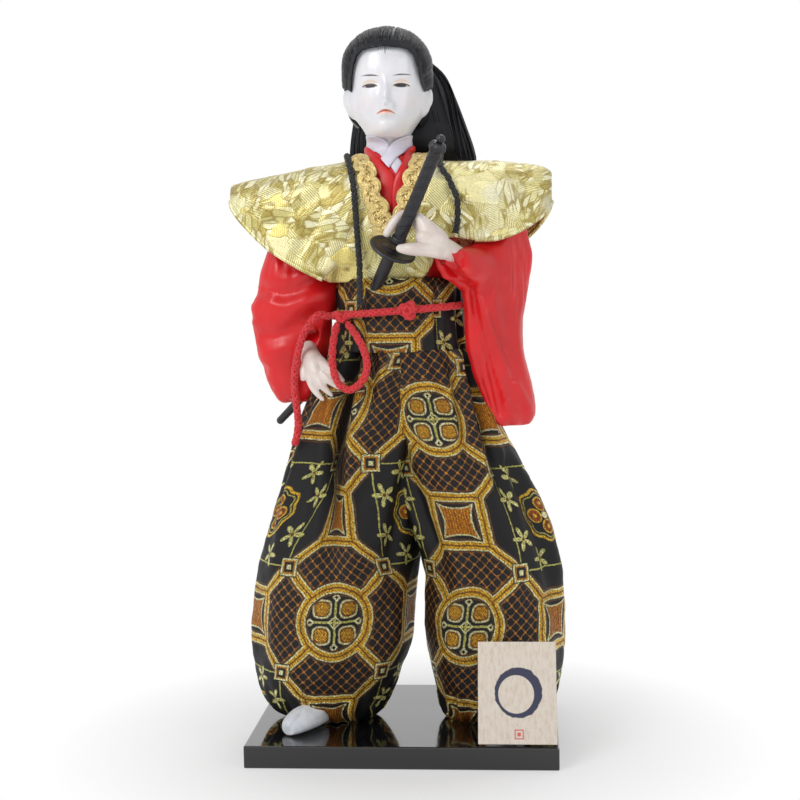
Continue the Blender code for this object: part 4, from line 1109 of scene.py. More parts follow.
legs = [trouserCloth("right"), trouserCloth("left")]
trouserPiece = smooth(joined("trouser_cloth", legs), 60.0)
dress(trouserPiece, brocadeCloth, "brocade", "trousers")

# The waistband: a wide band with a flat front panel and pleats at its sides.
waistband = {
    "rows": ((163.4, -28.9, 27.7, 0.0, 21.3), (168.0, -28.4, 27.0, 0.0, 21.6),
             (172.0, -27.8, 26.6, 0.0, 21.6), (178.0, -27.3, 26.1, 0.0, 21.2),
             (183.0, -27.2, 26.0, 0.0, 21.2), (188.0, -27.2, 26.0, 0.0, 21.5),
             (190.6, -26.9, 25.7, 0.0, 20.8), (193.4, -26.2, 25.0, 0.0, 18.6)),
    "around": 220, "up": 30,
    "folds": ((200.0, 120.0, -124.0, -118.0, 1.5, 3.4, 3.0), (200.0, 120.0, -52.0, -56.0, 1.1, 3.0, 3.0),
              (200.0, 120.0, -150.0, -148.0, 0.8, 4.0, 1.0),
              (200.0, 120.0, -24.0, -28.0, 0.9, 4.0, 1.0), (200.0, 120.0, 60.0, 62.0, 1.0, 3.0, 2.0),
              (200.0, 120.0, 90.0, 90.0, 1.2, 3.4, 3.0), (200.0, 120.0, 120.0, 118.0, 1.0, 3.0, 2.0),
              (200.0, 120.0, 160.0, 160.0, 0.8, 4.0, 1.0)),
}


def waistCloth():
    form = waistband
    seam = math.radians(90.0)
    z, x0, y0, half, depth, a = ovalRings(form["rows"], form["up"], form["around"], seam)
    dent, hidden = foldsOf(form["folds"], a, z)
    dent = dent * smoothstep((192.5 - z) / 5.0) + 0.25 * np.sin(17.0 * a + 0.2 * z)
    places = ovalPlaces(z, x0, y0, half, depth, a, dent)
    places[:, -1] = places[:, 0]
    step = 360.0 / form["around"]
    front = int(round(180.0 / step))
    band = layCloth("waist_cloth", places, (hidden[:, 1:] + hidden[:, :-1]) / 2.0 * step, front,
                    form["up"], (2.7, -8.7))
    outward(welded(band))
    return apply(band, "SOLIDIFY", thickness=0.5 * mm, offset=-1.0)


dress(smooth(waistCloth()), brocadeCloth, "brocade", "waistband")
print("trousers ready")


# pieces that start from a solid's own shape: rebuilt with even faces, then worked on
def evenCopy(node, name, voxel, smoothing=6):
    piece = copyOfNode(node, name)
    only(piece)
    piece.data.remesh_voxel_size = voxel * mm
    piece.data.use_remesh_fix_poles = False
    bpy.ops.object.voxel_remesh()
    apply(piece, "SMOOTH", factor=0.5, iterations=smoothing)
    return smooth(piece)


def pointsOf(obj):
    flat = np.zeros(len(obj.data.vertices) * 3)
    obj.data.vertices.foreach_get("co", flat)
    return flat.reshape(-1, 3) / mm


def normalsOf(obj):
    flat = np.zeros(len(obj.data.vertices) * 3)
    obj.data.vertices.foreach_get("normal", flat)
    return flat.reshape(-1, 3)


def putPoints(obj, points):
    obj.data.vertices.foreach_set("co", (points * mm).ravel())
    obj.data.update()
    return obj


# How far points are from a line of (x, z) places, seen along Y.
def offLine(points, line):
    best = np.full(len(points), 1e9)
    flat = points[:, [0, 2]]
    for a, b in zip(line, line[1:]):
        a, b = np.array(a, float), np.array(b, float)
        d = b - a
        t = np.clip(((flat - a) @ d) / (d @ d), 0.0, 1.0)
        best = np.minimum(best, np.linalg.norm(flat - a - t[:, None] * d, axis=1))
    return best


def fold(obj, folds, facing=(0.0, -1.0, 0.0)):     # folds are a line, a depth and a half width
    points, normals = pointsOf(obj), normalsOf(obj)
    seen = smoothstep((normals @ np.array(facing) + 0.1) / 0.5)
    push = np.zeros(len(points))
    for line, depth, width in folds:
        far = offLine(points, line)
        push -= depth * np.exp(-(far / width) ** 2)
    return putPoints(obj, points + normals * (push * seen)[:, None])


# The vest: figured gold cloth over the shoulders, with stuffed wings and turned hems.
vest = {
    "voxel": 0.85, "crumple": 0.55,
    "front": ((((-20.0, 238.0), (-34.0, 226.0), (-52.0, 216.0)), 0.9, 3.0),
              (((-24.0, 232.0), (-36.0, 212.0), (-42.0, 202.0)), 0.8, 2.6),
              (((-66.0, 230.0), (-52.0, 222.0), (-38.0, 218.0)), -0.7, 3.0),
              (((-12.0, 222.0), (-22.0, 208.0), (-25.0, 195.0)), 0.8, 2.2),
              (((24.0, 236.0), (38.0, 226.0), (52.0, 219.0)), 0.9, 3.0),
              (((22.0, 228.0), (32.0, 216.0), (38.0, 210.0)), 0.8, 2.4),
              (((60.0, 230.0), (46.0, 226.0), (34.0, 228.0)), -0.7, 3.0)),
    "back": ((((-20.0, 236.0), (-40.0, 220.0), (-54.0, 212.0)), 0.9, 3.0),
             (((20.0, 236.0), (38.0, 222.0), (52.0, 216.0)), 0.9, 3.0),
             (((-14.0, 226.0), (-18.0, 208.0), (-16.0, 194.0)), 0.8, 2.4),
             (((14.0, 226.0), (17.0, 208.0), (15.0, 194.0)), 0.8, 2.4),
             (((0.0, 226.0), (0.0, 194.0)), 0.5, 2.0)),
    # X, hem Z in front and behind, half depth: the wings' lower edges
    "hemRight": ((-70.4, 226.2, 226.2, 4.6), (-68.5, 221.6, 221.6, 7.4), (-61.0, 213.2, 213.2, 10.8),
                 (-52.9, 205.9, 206.8, 13.8), (-41.0, 198.5, 199.3, 16.6), (-31.0, 193.4, 194.2, 17.6)),
    "hemLeft": ((62.2, 223.4, 223.4, 5.0), (60.6, 220.3, 219.3, 8.4), (56.0, 216.3, 213.3, 11.4),
                (49.0, 211.9, 207.3, 14.4), (40.0, 208.7, 202.3, 16.6), (31.0, 208.3, 197.4, 17.8)),
    "hemRadius": 1.05, "middleY": 1.0,
}


def vestCloth():
    piece = evenCopy("vest", "vest_cloth", vest["voxel"], 8)
    points, normals = pointsOf(piece), normalsOf(piece)
    bumps = fieldNoise(points, 13.0, 2.0) + 0.4 * fieldNoise(points, 5.0, 7.0)
    putPoints(piece, points + normals * (bumps * vest["crumple"])[:, None])
    fold(piece, vest["front"])
    fold(piece, vest["back"], (0.0, 1.0, 0.0))
    return piece


def tubeAlong(name, line, radius, count=10, squash=1.0, side=None, closed=False):
    line = np.array(line, float)
    ahead, sides, ups = framesAlong(line, closed, side)
    radii = np.broadcast_to(radius, (len(line),))
    rings = [[line[i] + (sides[i] * math.cos(b) + ups[i] * squash * math.sin(b)) * radii[i]
              for b in turnAngles(count)] for i in range(len(line))]
    return smooth(skin(name, rings, closed))


vestPiece = vestCloth()
hems = [vestPiece]
for key in ("hemRight", "hemLeft"):
    rows = smoothRows(vest[key], 40)
    front = [(x, vest["middleY"] - half + 0.7, z) for x, z, _, half in rows]
    back = [(x, vest["middleY"] + half - 0.7, z) for x, _, z, half in rows]
    hems.append(tubeAlong("hem", evenly(front[::-1] + back, 1.0), vest["hemRadius"], 10))
vestPiece = joined("vest_cloth", hems)
dress(vestPiece, figuredGold, "gold_cloth", "vest")
print("vest ready:", len(vestPiece.data.polygons))


# Sleeves: loose satin that hangs from the shoulder, shaped by a short cloth run.
sleeves = {
    "voxel": 1.0, "scale": 10.0, "frames": 22, "pressure": 1.6, "cap": 2.2, "shrink": -0.02,
    "sleeve_right": {"pin": (214.0, 224.0), "reach": (-40.0, 187.0, 9.0, 3.6), "folds": (
        (((-58.0, 190.0), (-50.0, 187.5), (-43.0, 188.5), (-36.0, 192.0), (-31.0, 198.0)), 2.0, 3.0),
        (((-62.0, 182.0), (-55.0, 185.0), (-47.0, 182.0), (-40.0, 184.0)), -1.2, 3.2),
        (((-60.0, 171.0), (-52.0, 170.0), (-44.0, 174.0), (-36.0, 178.0)), 1.5, 3.4),
        (((-57.0, 162.0), (-48.0, 165.0), (-40.0, 162.0)), -1.0, 3.4),
        (((-50.0, 205.0), (-46.0, 198.0), (-38.0, 200.0)), 1.3, 2.6),
        (((-36.0, 175.0), (-38.0, 160.0), (-42.0, 148.0)), 0.9, 2.4))},
    "sleeve_left": {"pin": (212.0, 222.0), "mouth": (((16.6, 210.6), (29.4, 189.6)), 7.0, 9.0),
                    "folds": (
        (((17.5, 209.0), (22.4, 199.6), (29.2, 190.2)), -1.5, 1.1),
        (((14.6, 206.0), (19.4, 198.0), (26.4, 189.0)), 2.8, 1.9),
        (((14.0, 195.0), (21.6, 192.6), (29.6, 189.8)), -1.0, 0.9),
        (((15.6, 198.2), (21.6, 195.8), (27.4, 192.0)), 1.0, 1.0),
        (((30.0, 190.0), (32.0, 176.0), (36.0, 160.0), (41.0, 138.0)), 2.2, 1.8),
        (((30.5, 189.0), (29.5, 170.0), (32.5, 152.0), (36.0, 140.0)), 1.2, 1.4),
        (((31.0, 190.5), (37.0, 174.0), (44.0, 156.0), (52.0, 139.0)), -1.4, 1.5),
        (((31.5, 188.0), (33.8, 172.0), (38.6, 156.0), (43.0, 144.0)), -1.3, 1.1),
        (((34.0, 186.0), (40.0, 170.0), (46.0, 152.0)), 1.6, 1.3),
        (((18.0, 196.0), (24.0, 194.0), (31.0, 190.0)), 1.0, 1.3),
        (((44.0, 146.0), (46.5, 140.0), (51.0, 138.0)), 1.0, 1.4),
        (((38.0, 206.0), (42.0, 196.0), (44.0, 180.0), (47.0, 160.0)), 0.9, 3.4))},
}


# Fills a closed cloth with a little air, held where it is pinned, then lets it settle.
def puffed(obj, pin, form):
    before = pointsOf(obj)
    scale = form["scale"]
    putPoints(obj, before * scale)
    hold = obj.vertex_groups.new(name="hold")
    low, high = pin
    for i, p in enumerate(before):
        hold.add([i], float(smoothstep((p[2] - low) / (high - low))) * 0.98 + 0.02, "REPLACE")
    only(obj)
    step = obj.modifiers.new("cloth", "CLOTH")
    cloth = step.settings
    cloth.quality = 6
    cloth.mass = 0.12
    cloth.tension_stiffness = cloth.compression_stiffness = 12.0
    cloth.shear_stiffness = 6.0
    cloth.bending_stiffness = 0.08
    cloth.use_pressure = True
    cloth.uniform_pressure_force = form["pressure"]
    cloth.shrink_min = form["shrink"]
    cloth.vertex_group_mass = "hold"
    cloth.pin_stiffness = 1.0
    cloth.effector_weights.gravity = 0.12
    step.collision_settings.use_self_collision = False
    step.point_cache.frame_start, step.point_cache.frame_end = 1, form["frames"]
    for number in range(1, form["frames"] + 1):
        bpy.context.scene.frame_set(number)
    bpy.ops.object.modifier_apply(modifier=step.name)
    bpy.context.scene.frame_set(1)
    after = pointsOf(obj) / scale
    move = after - before
    far = np.linalg.norm(move, axis=1)
    move *= np.minimum(1.0, form["cap"] / np.maximum(far, 1e-6))[:, None]
    obj.vertex_groups.clear()
    print(obj.name, "moved up to", round(float(far.max()), 2), "mm")
    return putPoints(obj, before + move)


for name in ("sleeve_right", "sleeve_left"):
    form = sleeves[name]
    piece = evenCopy(name, name + "_satin", sleeves["voxel"], 10)
    puffed(piece, form["pin"], sleeves)
    points, normals = pointsOf(piece), normalsOf(piece)
    soft = fieldNoise(points, 11.0, 5.0) * 0.55 + fieldNoise(points, 5.0, 1.0) * 0.16
    putPoints(piece, points + normals * soft[:, None])
    fold(piece, form["folds"])
    if "mouth" in form:                # the front layer stands out over the wrist
        points, normals = pointsOf(piece), normalsOf(piece)
        line, shift, width = form["mouth"]
        a, b = np.array(line[0]), np.array(line[-1])
        d = (b - a) / np.linalg.norm(b - a)
        flat = points[:, [0, 2]] - a
        off = flat[:, 1] * d[0] - flat[:, 0] * d[1]
        mask = (smoothstep(off / 0.9) * np.exp(-(np.maximum(off, 0.0) / width) ** 2)
                * np.exp(-(np.maximum(offLine(points, line) - 9.0, 0.0) / 6.0) ** 2)
                * smoothstep((flat @ d + 4.0) / 6.0)
                * smoothstep((np.linalg.norm(b - a) + 3.0 - flat @ d) / 6.0)
                * smoothstep((-normals[:, 1] + 0.2) / 0.4))
        points[:, 1] -= shift * mask
        putPoints(piece, points)
    if "reach" in form:                # the side next to the body comes in to meet the waistband
        points = pointsOf(piece)
        x, z, span, shift = form["reach"]
        mask = np.exp(-((points[:, 2] - z) / span) ** 2) * smoothstep((points[:, 0] - x) / 8.0)
        points[:, 0] += shift * mask
        putPoints(piece, points)
    back = [([(x, z) for x, z in line], depth * 0.9, width * 1.3)
            for line, depth, width in form["folds"]]
    fold(piece, back, (0.0, 1.0, 0.0))
    apply(piece, "SMOOTH", factor=0.4, iterations=2)
    smooth(piece)
    dress(piece, redSatin, "satin", name)
print("sleeves ready")


# head: white lacquered skin with a carved and painted face
face = {
    "voxel": 0.42, "middle": -4.1,
    # X, Z, half width, half height and how far forward
    "forms": ((-3.7, 269.0, 1.5, 4.2, 1.5), (-3.5, 264.0, 1.7, 1.6, 1.2), (-5.7, 262.6, 1.0, 1.0, 0.7),
              (-1.4, 262.6, 1.0, 1.0, 0.7), (-10.2, 271.4, 4.0, 2.0, -0.9),
              (2.0, 271.4, 4.0, 2.0, -0.9), (-10.2, 270.2, 3.0, 0.9, 0.35),
              (2.0, 270.2, 3.0, 0.9, 0.35), (-12.4, 264.0, 3.8, 3.6, 0.5),
              (4.4, 264.0, 3.8, 3.6, 0.5), (-3.9, 259.6, 4.6, 2.8, 0.6),
              (-3.9, 261.0, 2.6, 0.6, 0.45), (-3.9, 258.9, 2.2, 0.8, 0.5),
              (-3.9, 260.0, 3.3, 0.3, -0.4), (-4.0, 256.8, 3.2, 1.0, -0.5),
              (-4.1, 253.9, 3.6, 2.2, 0.7), (-3.6, 262.6, 0.5, 0.9, -0.25)),
    "eyes": ((-10.3, 270.5, -1.0), (2.2, 270.5, 1.0)),
    "brows": ((-10.2, 274.6, -1.0), (2.6, 274.7, 1.0)),
    "mouth": (-3.9, 260.4, 3.6, 1.1),
    # X, Y, Z and half sizes of each ear, melted into the head
    "ears": ((-17.6, 0.4, 265.6, 4.7, 4.6, 7.0), (8.7, 0.4, 265.8, 4.7, 4.6, 7.0)),
}


def faceMaterial():
    material, t, shader = newMaterial("paintedFace", paint(232, 232, 236), 0.3, Coat_Weight=0.25,
                                      Coat_Roughness=0.12, Subsurface_Weight=0.08,
                                      Subsurface_Scale=0.002)
    place = placeOf(t)
    x, y, z = axes(t, place)
    front = under(t, y, -2.0, 3.0)
    mottle = speckle(t, place, 0.12, 2.0)
    colour = ramp(t, mottle, (0.3, paint(226, 226, 232)), (0.7, paint(236, 236, 238)))
    # painted shade: the front below the chin is darkened to a warm grey
    chinShade = both(t, under(t, z, 254.0, 8.0), front)
    colour = blendColour(t, both(t, chinShade, 0.35), colour, paint(222, 206, 200))
    for cx in (-13.0, 5.0):
        dx, dz = away(t, x, cx), away(t, z, 264.0)
        far = longer(t, dx, dz)
        colour = blendColour(t, both(t, under(t, far, 3.0, 6.0), front, 0.22), colour,
                             paint(238, 206, 208))
    grain = speckle(t, place, 0.7, 2.0)
    wobble = calc(t, "MULTIPLY_ADD", grain, 0.3, -0.15)

    # each eye: tint, white, dark iris, lid line
    for cx, cz, way in face["eyes"]:
        dx = times(t, minus(t, x, cx), way)
        dz = minus(t, minus(t, z, cz), times(t, dx, 0.03))
        bow = minus(t, 1.0, calc(t, "POWER", positive(t, calc(t, "DIVIDE", dx, 3.15)), 2.0))
        lid = times(t, bow, 0.74)
        almond = minus(t, positive(t, minus(t, dz, times(t, bow, 0.12))), lid)
        shade = both(t, ringOf(t, minus(t, dz, times(t, bow, 1.4)), -0.6, 1.3, 1.2),
                     under(t, positive(t, dx), 3.2, 2.0), front, 0.55)
        colour = blendColour(t, shade, colour, paint(238, 208, 176))
        colour = blendColour(t, both(t, under(t, almond, 0.0, 0.25), front), colour,
                             paint(226, 224, 230))
        iris = both(t, under(t, positive(t, plus(t, dx, 0.15)), 2.15, 0.35),
                    under(t, plus(t, almond, 0.05), 0.0, 0.25), front)
        colour = blendColour(t, iris, colour, paint(26, 14, 18))
        line = positive(t, minus(t, dz, calc(t, "MULTIPLY_ADD", bow, 0.84, 0.02)))
        upper = both(t, under(t, line, 0.3, 0.22), ringOf(t, dx, -3.0, 3.3, 0.6), front)
        colour = blendColour(t, upper, colour, paint(30, 20, 26))
        # painted shade along the eyelid crease above each eye
        creaseShade = positive(t, minus(t, dz, calc(t, "MULTIPLY_ADD", bow, 1.0, 1.25)))
        colour = blendColour(t, both(t, under(t, creaseShade, 0.12, 0.25),
                                     under(t, positive(t, dx), 3.3, 1.2),
                                     front, 0.35), colour, paint(196, 160, 140))
        lower = positive(t, plus(t, dz, times(t, bow, 0.64)))
        colour = blendColour(t, both(t, under(t, lower, 0.12, 0.2), under(t, positive(t, dx), 2.9, 0.8),
                                     front, 0.6), colour, paint(70, 44, 48))
    for cx, cz, way in face["brows"]:
        dx = times(t, minus(t, x, cx), way)
        dz = minus(t, minus(t, z, cz), calc(t, "MULTIPLY_ADD", dx, 0.07, wobble))
        bow = minus(t, 1.0, calc(t, "POWER", positive(t, calc(t, "DIVIDE", dx, 3.7)), 2.0))
        line = minus(t, positive(t, minus(t, dz, times(t, bow, 0.25))), times(t, bow, 0.34))
        colour = blendColour(t, both(t, under(t, line, 0.0, 0.28), front, 0.9), colour,
                             paint(52, 52, 54))

    # mouth: a thin downturned arc over a pale lower lip
    cx, cz, half, drop = face["mouth"]
    dx = calc(t, "DIVIDE", minus(t, x, cx), half)
    bow = minus(t, 1.0, times(t, dx, dx))
    dz = plus(t, minus(t, z, cz), times(t, times(t, dx, dx), drop))
    lip = minus(t, positive(t, plus(t, dz, times(t, bow, 0.75))), times(t, bow, 0.7))
    colour = blendColour(t, both(t, under(t, lip, 0.0, 0.7), front, 0.75), colour, paint(236, 190, 176))
    top = minus(t, positive(t, dz), calc(t, "MULTIPLY_ADD", bow, 0.3, 0.14))
    colour = blendColour(t, both(t, under(t, top, 0.0, 0.3), under(t, positive(t, dx), 1.05, 0.12),
                                 front),
                         colour, paint(212, 104, 66))
    seam = minus(t, positive(t, plus(t, dz, 0.1)), 0.02)
    colour = blendColour(t, both(t, under(t, seam, 0.0, 0.3), under(t, positive(t, dx), 1.0, 0.1),
                                 front, 0.8),
                         colour, paint(120, 40, 26))

    # fine strokes that run down from the hairline
    hair = speckle(t, together(t, x, 0.0, 0.0), 1.4, 1.0)
    long = calc(t, "MULTIPLY_ADD", hair, 3.4, calc(t, "MULTIPLY_ADD", away(t, x, -4.0), -0.14, 0.7))
    strokes = both(t, under(t, calc(t, "PINGPONG", plus(t, x, wobble), 0.42), 0.14, 0.16),
                   under(t, minus(t, minus(t, 287.4, z), long), 0.0, 1.4),
                   under(t, away(t, x, -4.2), 9.5, 2.0), front)
    colour = blendColour(t, both(t, strokes, 0.75), colour, paint(92, 94, 116))
    haze = both(t, under(t, minus(t, 287.4, z), 1.6, 2.6), front, 0.4)
    colour = blendColour(t, haze, colour, paint(150, 150, 172))
    tick = both(t, under(t, away(t, x, -4.0), 0.16, 0.2), minus(t, 1.0, under(t, z, 283.4, 0.8)), front)
    colour = blendColour(t, both(t, tick, 0.9), colour, paint(36, 36, 46))
    feed(shader, "Base Color", colour)
    feed(shader, "Roughness", spread(t, mottle, 0.3, 0.7, 0.26, 0.36))
    raised(t, shader, grain, 0.03, 0.3)
    return material


def sculpted(obj, forms, facing=-1.0):  # soft bumps and hollows on the side that faces the front
    points, normals = pointsOf(obj), normalsOf(obj)
    seen = smoothstep((normals[:, 1] * facing + 0.05) / 0.4)
    for cx, cz, half, high, amount in forms:
        mask = np.exp(-((points[:, 0] - cx) / half) ** 2 - ((points[:, 2] - cz) / high) ** 2)
        points[:, 1] += facing * amount * mask * seen
    return putPoints(obj, points)


headPiece = copyOfNode("head", "painted_head")
ears = []
for x, y, z, a, b, c in face["ears"]:
    ears.append(ball((x, y, z), 1.0, 32, 20, (a, b, c)))
headPiece = joined("painted_head", [headPiece] + ears)
headPiece.data.remesh_voxel_size = face["voxel"] * mm
only(headPiece)
bpy.ops.object.voxel_remesh()
apply(headPiece, "SMOOTH", factor=0.5, iterations=24)
points = pointsOf(headPiece)
narrow = np.exp(-((points[:, 2] - 253.4) / 4.2) ** 2) * 0.13
points[:, 0] += (face["middle"] - points[:, 0]) * narrow
putPoints(headPiece, points)
sculpted(headPiece, face["forms"])
apply(headPiece, "SMOOTH", factor=0.5, iterations=2)
smooth(headPiece)
dress(headPiece, faceMaterial(), "skin", "head")


# hair: a thick combed cap, and long hair that hangs behind the neck
def strand(line, radius, count=5, flat=0.7):
    line = np.array(line, float)
    ahead, sides, ups = framesAlong(line)
    taper = np.sin(np.linspace(0.12, 1.0, len(line)) * math.pi * 0.5) * np.sqrt(
        np.clip(1.02 - np.linspace(0.0, 1.0, len(line)) ** 6, 0.0, 1.0))
    return [[line[i] + (sides[i] * math.cos(b)
                        + ups[i] * flat * math.sin(b)) * radius * max(taper[i], 0.08)
             for b in turnAngles(count)] for i in range(len(line))]


# Many strands as one mesh; v of the cloth UV runs along each of them.
def strandMesh(name, bundle):
    points, faces, uvs, start = [], [], [], 0
    for number, rings in enumerate(bundle):
        rings = np.array(rings)
        n, k = rings.shape[:2]
        points.append(rings.reshape(-1, 3))
        for i in range(n - 1):
            for j in range(k):
                a, b = start + i * k + j, start + i * k + (j + 1) % k
                faces.append((a, b, b + k, a + k))
                uvs += [(number * 0.02 + j * 0.002, i * 0.01),
                        (number * 0.02 + j * 0.002 + 0.002, i * 0.01),
                        (number * 0.02 + j * 0.002 + 0.002, i * 0.01 + 0.01),
                        (number * 0.02 + j * 0.002, i * 0.01 + 0.01)]
        for first in (start, start + (n - 1) * k):
            faces.append(tuple(range(first, first + k)))
            uvs += [(0.0, 0.0)] * k
        start += n * k
    mesh = bpy.data.meshes.new(name)
    mesh.from_pydata((np.concatenate(points) * mm).tolist(), [], faces)
    mesh.uv_layers.new(name="cloth").data.foreach_set("uv", np.array(uvs).ravel())
    obj = bpy.data.objects.new(name, mesh)
    bpy.context.scene.collection.objects.link(obj)
    return smooth(outward(obj))


hair = {
    "centre": (-4.6, 3.0, 272.0), "knot": (-4.2, 22.0, 277.0), "strands": 420, "radius": 0.42,
    # X, Z of the edge that the cap is cut to, round the face and above the ears
    "face": ((-18.6, 240.0), (-18.6, 269.1), (-18.2, 274.1), (-17.2, 279.6), (-15.8, 283.2),
             (-13.2, 285.2), (-9.0, 285.8), (-3.8, 286.0), (1.2, 285.8), (4.6, 285.2), (7.2, 283.0),
             (8.6, 279.2), (9.8, 274.0), (11.2, 268.9), (11.2, 240.0)),
    "ears": ((-32.0, 240.0), (-32.0, 275.0), (-21.6, 271.4), (-18.6, 269.1), (11.2, 268.9),
             (14.2, 271.0), (24.0, 275.0), (24.0, 240.0)),
    "faceBack": -3.4, "earsBack": 5.0,
    "tail": ((192.0, 2.0, 24.8, 9.0, 1.6), (205.0, 2.0, 26.2, 18.0, 2.6), (225.0, 3.0, 27.8, 23.6, 3.4),
             (241.0, 3.8, 28.6, 25.6, 4.2), (248.0, 3.4, 27.4, 25.4, 6.2),
             (258.0, 2.4, 27.0, 23.2, 7.2), (270.0, 1.4, 28.0, 20.0, 6.8),
             (280.0, 0.4, 27.6, 16.6, 6.0), (287.0, -1.4, 25.6, 10.6, 5.0),
             (292.0, -3.0, 23.0, 6.4, 4.0)),
    "tailStrands": 260,
}
seeded = np.random.default_rng(7)


def hairCap():
    base = evenCopy("hair_cap", "combed_hair", 0.6, 4)
    for key, back in (("face", hair["faceBack"]), ("ears", hair["earsBack"])):
        cutter = skin("cutter", [[(x, y, z) for x, z in hair[key]] for y in (-60.0, back)])
        apply(base, "BOOLEAN", operation="DIFFERENCE", solver="EXACT", object=cutter)
        bpy.data.objects.remove(cutter)
    apply(base, "SMOOTH", factor=0.5, iterations=3)
    bvh = surfaceOf(base)
    centre = Vector(hair["centre"])
    line = evenly([(x, 0.0, z) for x, z in smoothRows(hair["face"][1:-1], 200)], 0.1)
    bundle = []
    knot = (Vector(hair["knot"]) - centre).normalized()
    for number in range(hair["strands"]):
        part = (number + 0.5 + seeded.uniform(-0.5, 0.5)) / hair["strands"]
        x, _, z = line[min(int(part * len(line)), len(line) - 1)]
        out = Vector((x - centre.x, 0.0, z - centre.z))
        hit = None
        for back in np.linspace(-26.0, 10.0, 60):     # the first place where the cap is met
            way = Vector((out.x, back, out.z))
            found = bvh.ray_cast((centre + way * 3.0) * mm, -way.normalized())[0]
            if (found and ((found / mm) - centre).length < 26.0 and abs((found / mm).x - x) < 3.2
                and ((found / mm) - centre).dot(way) > 0.0):
                hit = (found / mm - centre)
                break
        if hit is None:
            continue
        begin = hit.normalized()
        begin = (begin + Vector((0.0, seeded.uniform(-0.03, 0.02), 0.0))).normalized()
        angle = begin.angle(knot)
        reach = seeded.uniform(0.82, 0.98)
        points = []
        lift, drift = seeded.uniform(-0.12, 0.22), seeded.uniform(-0.05, 0.05)
        for s in np.linspace(0.0, reach, 22):
            way = (begin * math.sin((1.0 - s) * angle) + knot * math.sin(s * angle)) / math.sin(angle)
            way = (way + Vector((drift * math.sin(s * 3.0), 0.0,
                                 0.05 * math.sin(s * math.pi)))).normalized()
            found = bvh.ray_cast((centre + way * 40.0) * mm, -way)[0]
            if found is None:
                break
            points.append(found / mm + way * (lift - 0.5 * max(0.0, 0.06 - s) / 0.06))
        if len(points) > 8:
            bundle.append(strand(points, hair["radius"] * seeded.uniform(0.75, 1.25)))
    strands = strandMesh("hair_strands", bundle)
    return joined("combed_hair", [base, strands])


def longHair():
    base = evenCopy("long_hair", "hanging_hair", 0.9, 6)
    rows = smoothRows(hair["tail"], 44)[::-1]
    bundle = []
    for number in range(hair["tailStrands"]):
        place = 2.0 * math.pi * (number + seeded.uniform(0.0, 1.0)) / hair["tailStrands"]
        wave, phase = seeded.uniform(0.0, 0.09), seeded.uniform(0.0, 6.3)
        first, last = int(seeded.uniform(0, 6)), int(seeded.uniform(34, 45))
        out = seeded.uniform(0.98, 1.05)
        points = [(cx + hx * out * math.cos(place + wave * math.sin(0.12 * i + phase)),
                   cy + hy * out * math.sin(place + wave * math.sin(0.12 * i + phase)), z)
                  for i, (z, cx, cy, hx, hy) in enumerate(rows)][first:last]
        bundle.append(strand(points, seeded.uniform(0.4, 0.75)))
    for number in range(16):           # loose ones at the doll's left
        side = seeded.uniform(0.0, 1.0)
        x, y = 20.6 + 3.6 * side, 20.0 - 5.0 * side
        drop = seeded.uniform(0.0, 8.0)
        points = [(10.0 + 0.3 * side, 21.0, 286.0), (x - 3.6, y + 2.0, 274.0), (x, y, 258.0),
                  (x + 2.0, y, 248.0), (x + 2.2 + side, y + 1.0, 240.0 + drop * 0.4)]
        bundle.append(strand(smoothRows(points, 24), seeded.uniform(0.28, 0.5)))
    strands = strandMesh("tail_strands", bundle)
    return joined("hanging_hair", [base, strands])


for piece, node in ((hairCap(), "hair_cap"), (longHair(), "long_hair")):
    dress(piece, blackHair, "hair", node)
    print(piece.name, len(piece.data.polygons))
print("head ready")


# robe and collars: bands laid on what is under them, seen from a line up through the neck
axis = (-4.4, 2.0)


def outermost(surfaces, x, y, z):
    way = Vector((x - axis[0], y - axis[1], 0.0)).normalized()
    best = None
    for surface in surfaces:
        found = surface.ray_cast((Vector((axis[0], axis[1], z)) + way * 60.0) * mm, -way)[0]
        if found:
            far = ((found / mm) - Vector((axis[0], axis[1], z))).length
            best = far if best is None else max(best, far)
    return best, way


def laidBand(name, route, width, thick, surfaces, lifts=(0.25, 0.25), across=8):
    line = evenly(smoothRows(route, 12 * len(route)), 0.8)
    ahead = np.gradient(line, axis=0)
    rings, reach = [], []
    for i, point in enumerate(line):
        out = np.array((point[0] - axis[0], point[1] - axis[1], 0.0))
        up = np.cross(out / np.linalg.norm(out), ahead[i])
        up /= np.linalg.norm(up)
        broad = width[0] + (width[1] - width[0]) * smoothstep((point[2] - 230.0) / 10.0)
        rings.append([point + up * broad * (j / across - 0.5) for j in range(across + 1)])
        reach.append([outermost(surfaces, *p)[0] for p in rings[-1]])
    reach = np.array([[0.0 if r is None else r for r in row] for row in reach])
    low = np.where(reach == 0.0, np.nanmax(np.where(reach == 0.0, np.nan, reach), axis=1)[:, None],
                   reach)
    for _ in range(3):                 # bands don't follow every small dip
        wide = np.pad(low, ((2, 2), (0, 0)), mode="edge")
        low = np.maximum(low, sum(wide[k:k + len(low)] for k in range(5)) / 5.0)
    lift = lifts[0] + (lifts[1] - lifts[0]) * smoothstep(np.linspace(-2.2, 1.8, len(line)))
    solid = []
    for i, row in enumerate(rings):
        outer, inner = [], []
        for j, p in enumerate(row):
            way = np.array((p[0] - axis[0], p[1] - axis[1], 0.0))
            way /= np.linalg.norm(way)
            base = np.array((axis[0], axis[1], p[2])) + way * (low[i, j] + lift[i])
            edge = 1.0 - 0.75 * abs(2.0 * j / across - 1.0) ** 6
            outer.append(base + way * thick * edge)
            inner.append(base)
        solid.append(outer + inner[::-1])
    return smooth(skin(name, solid))


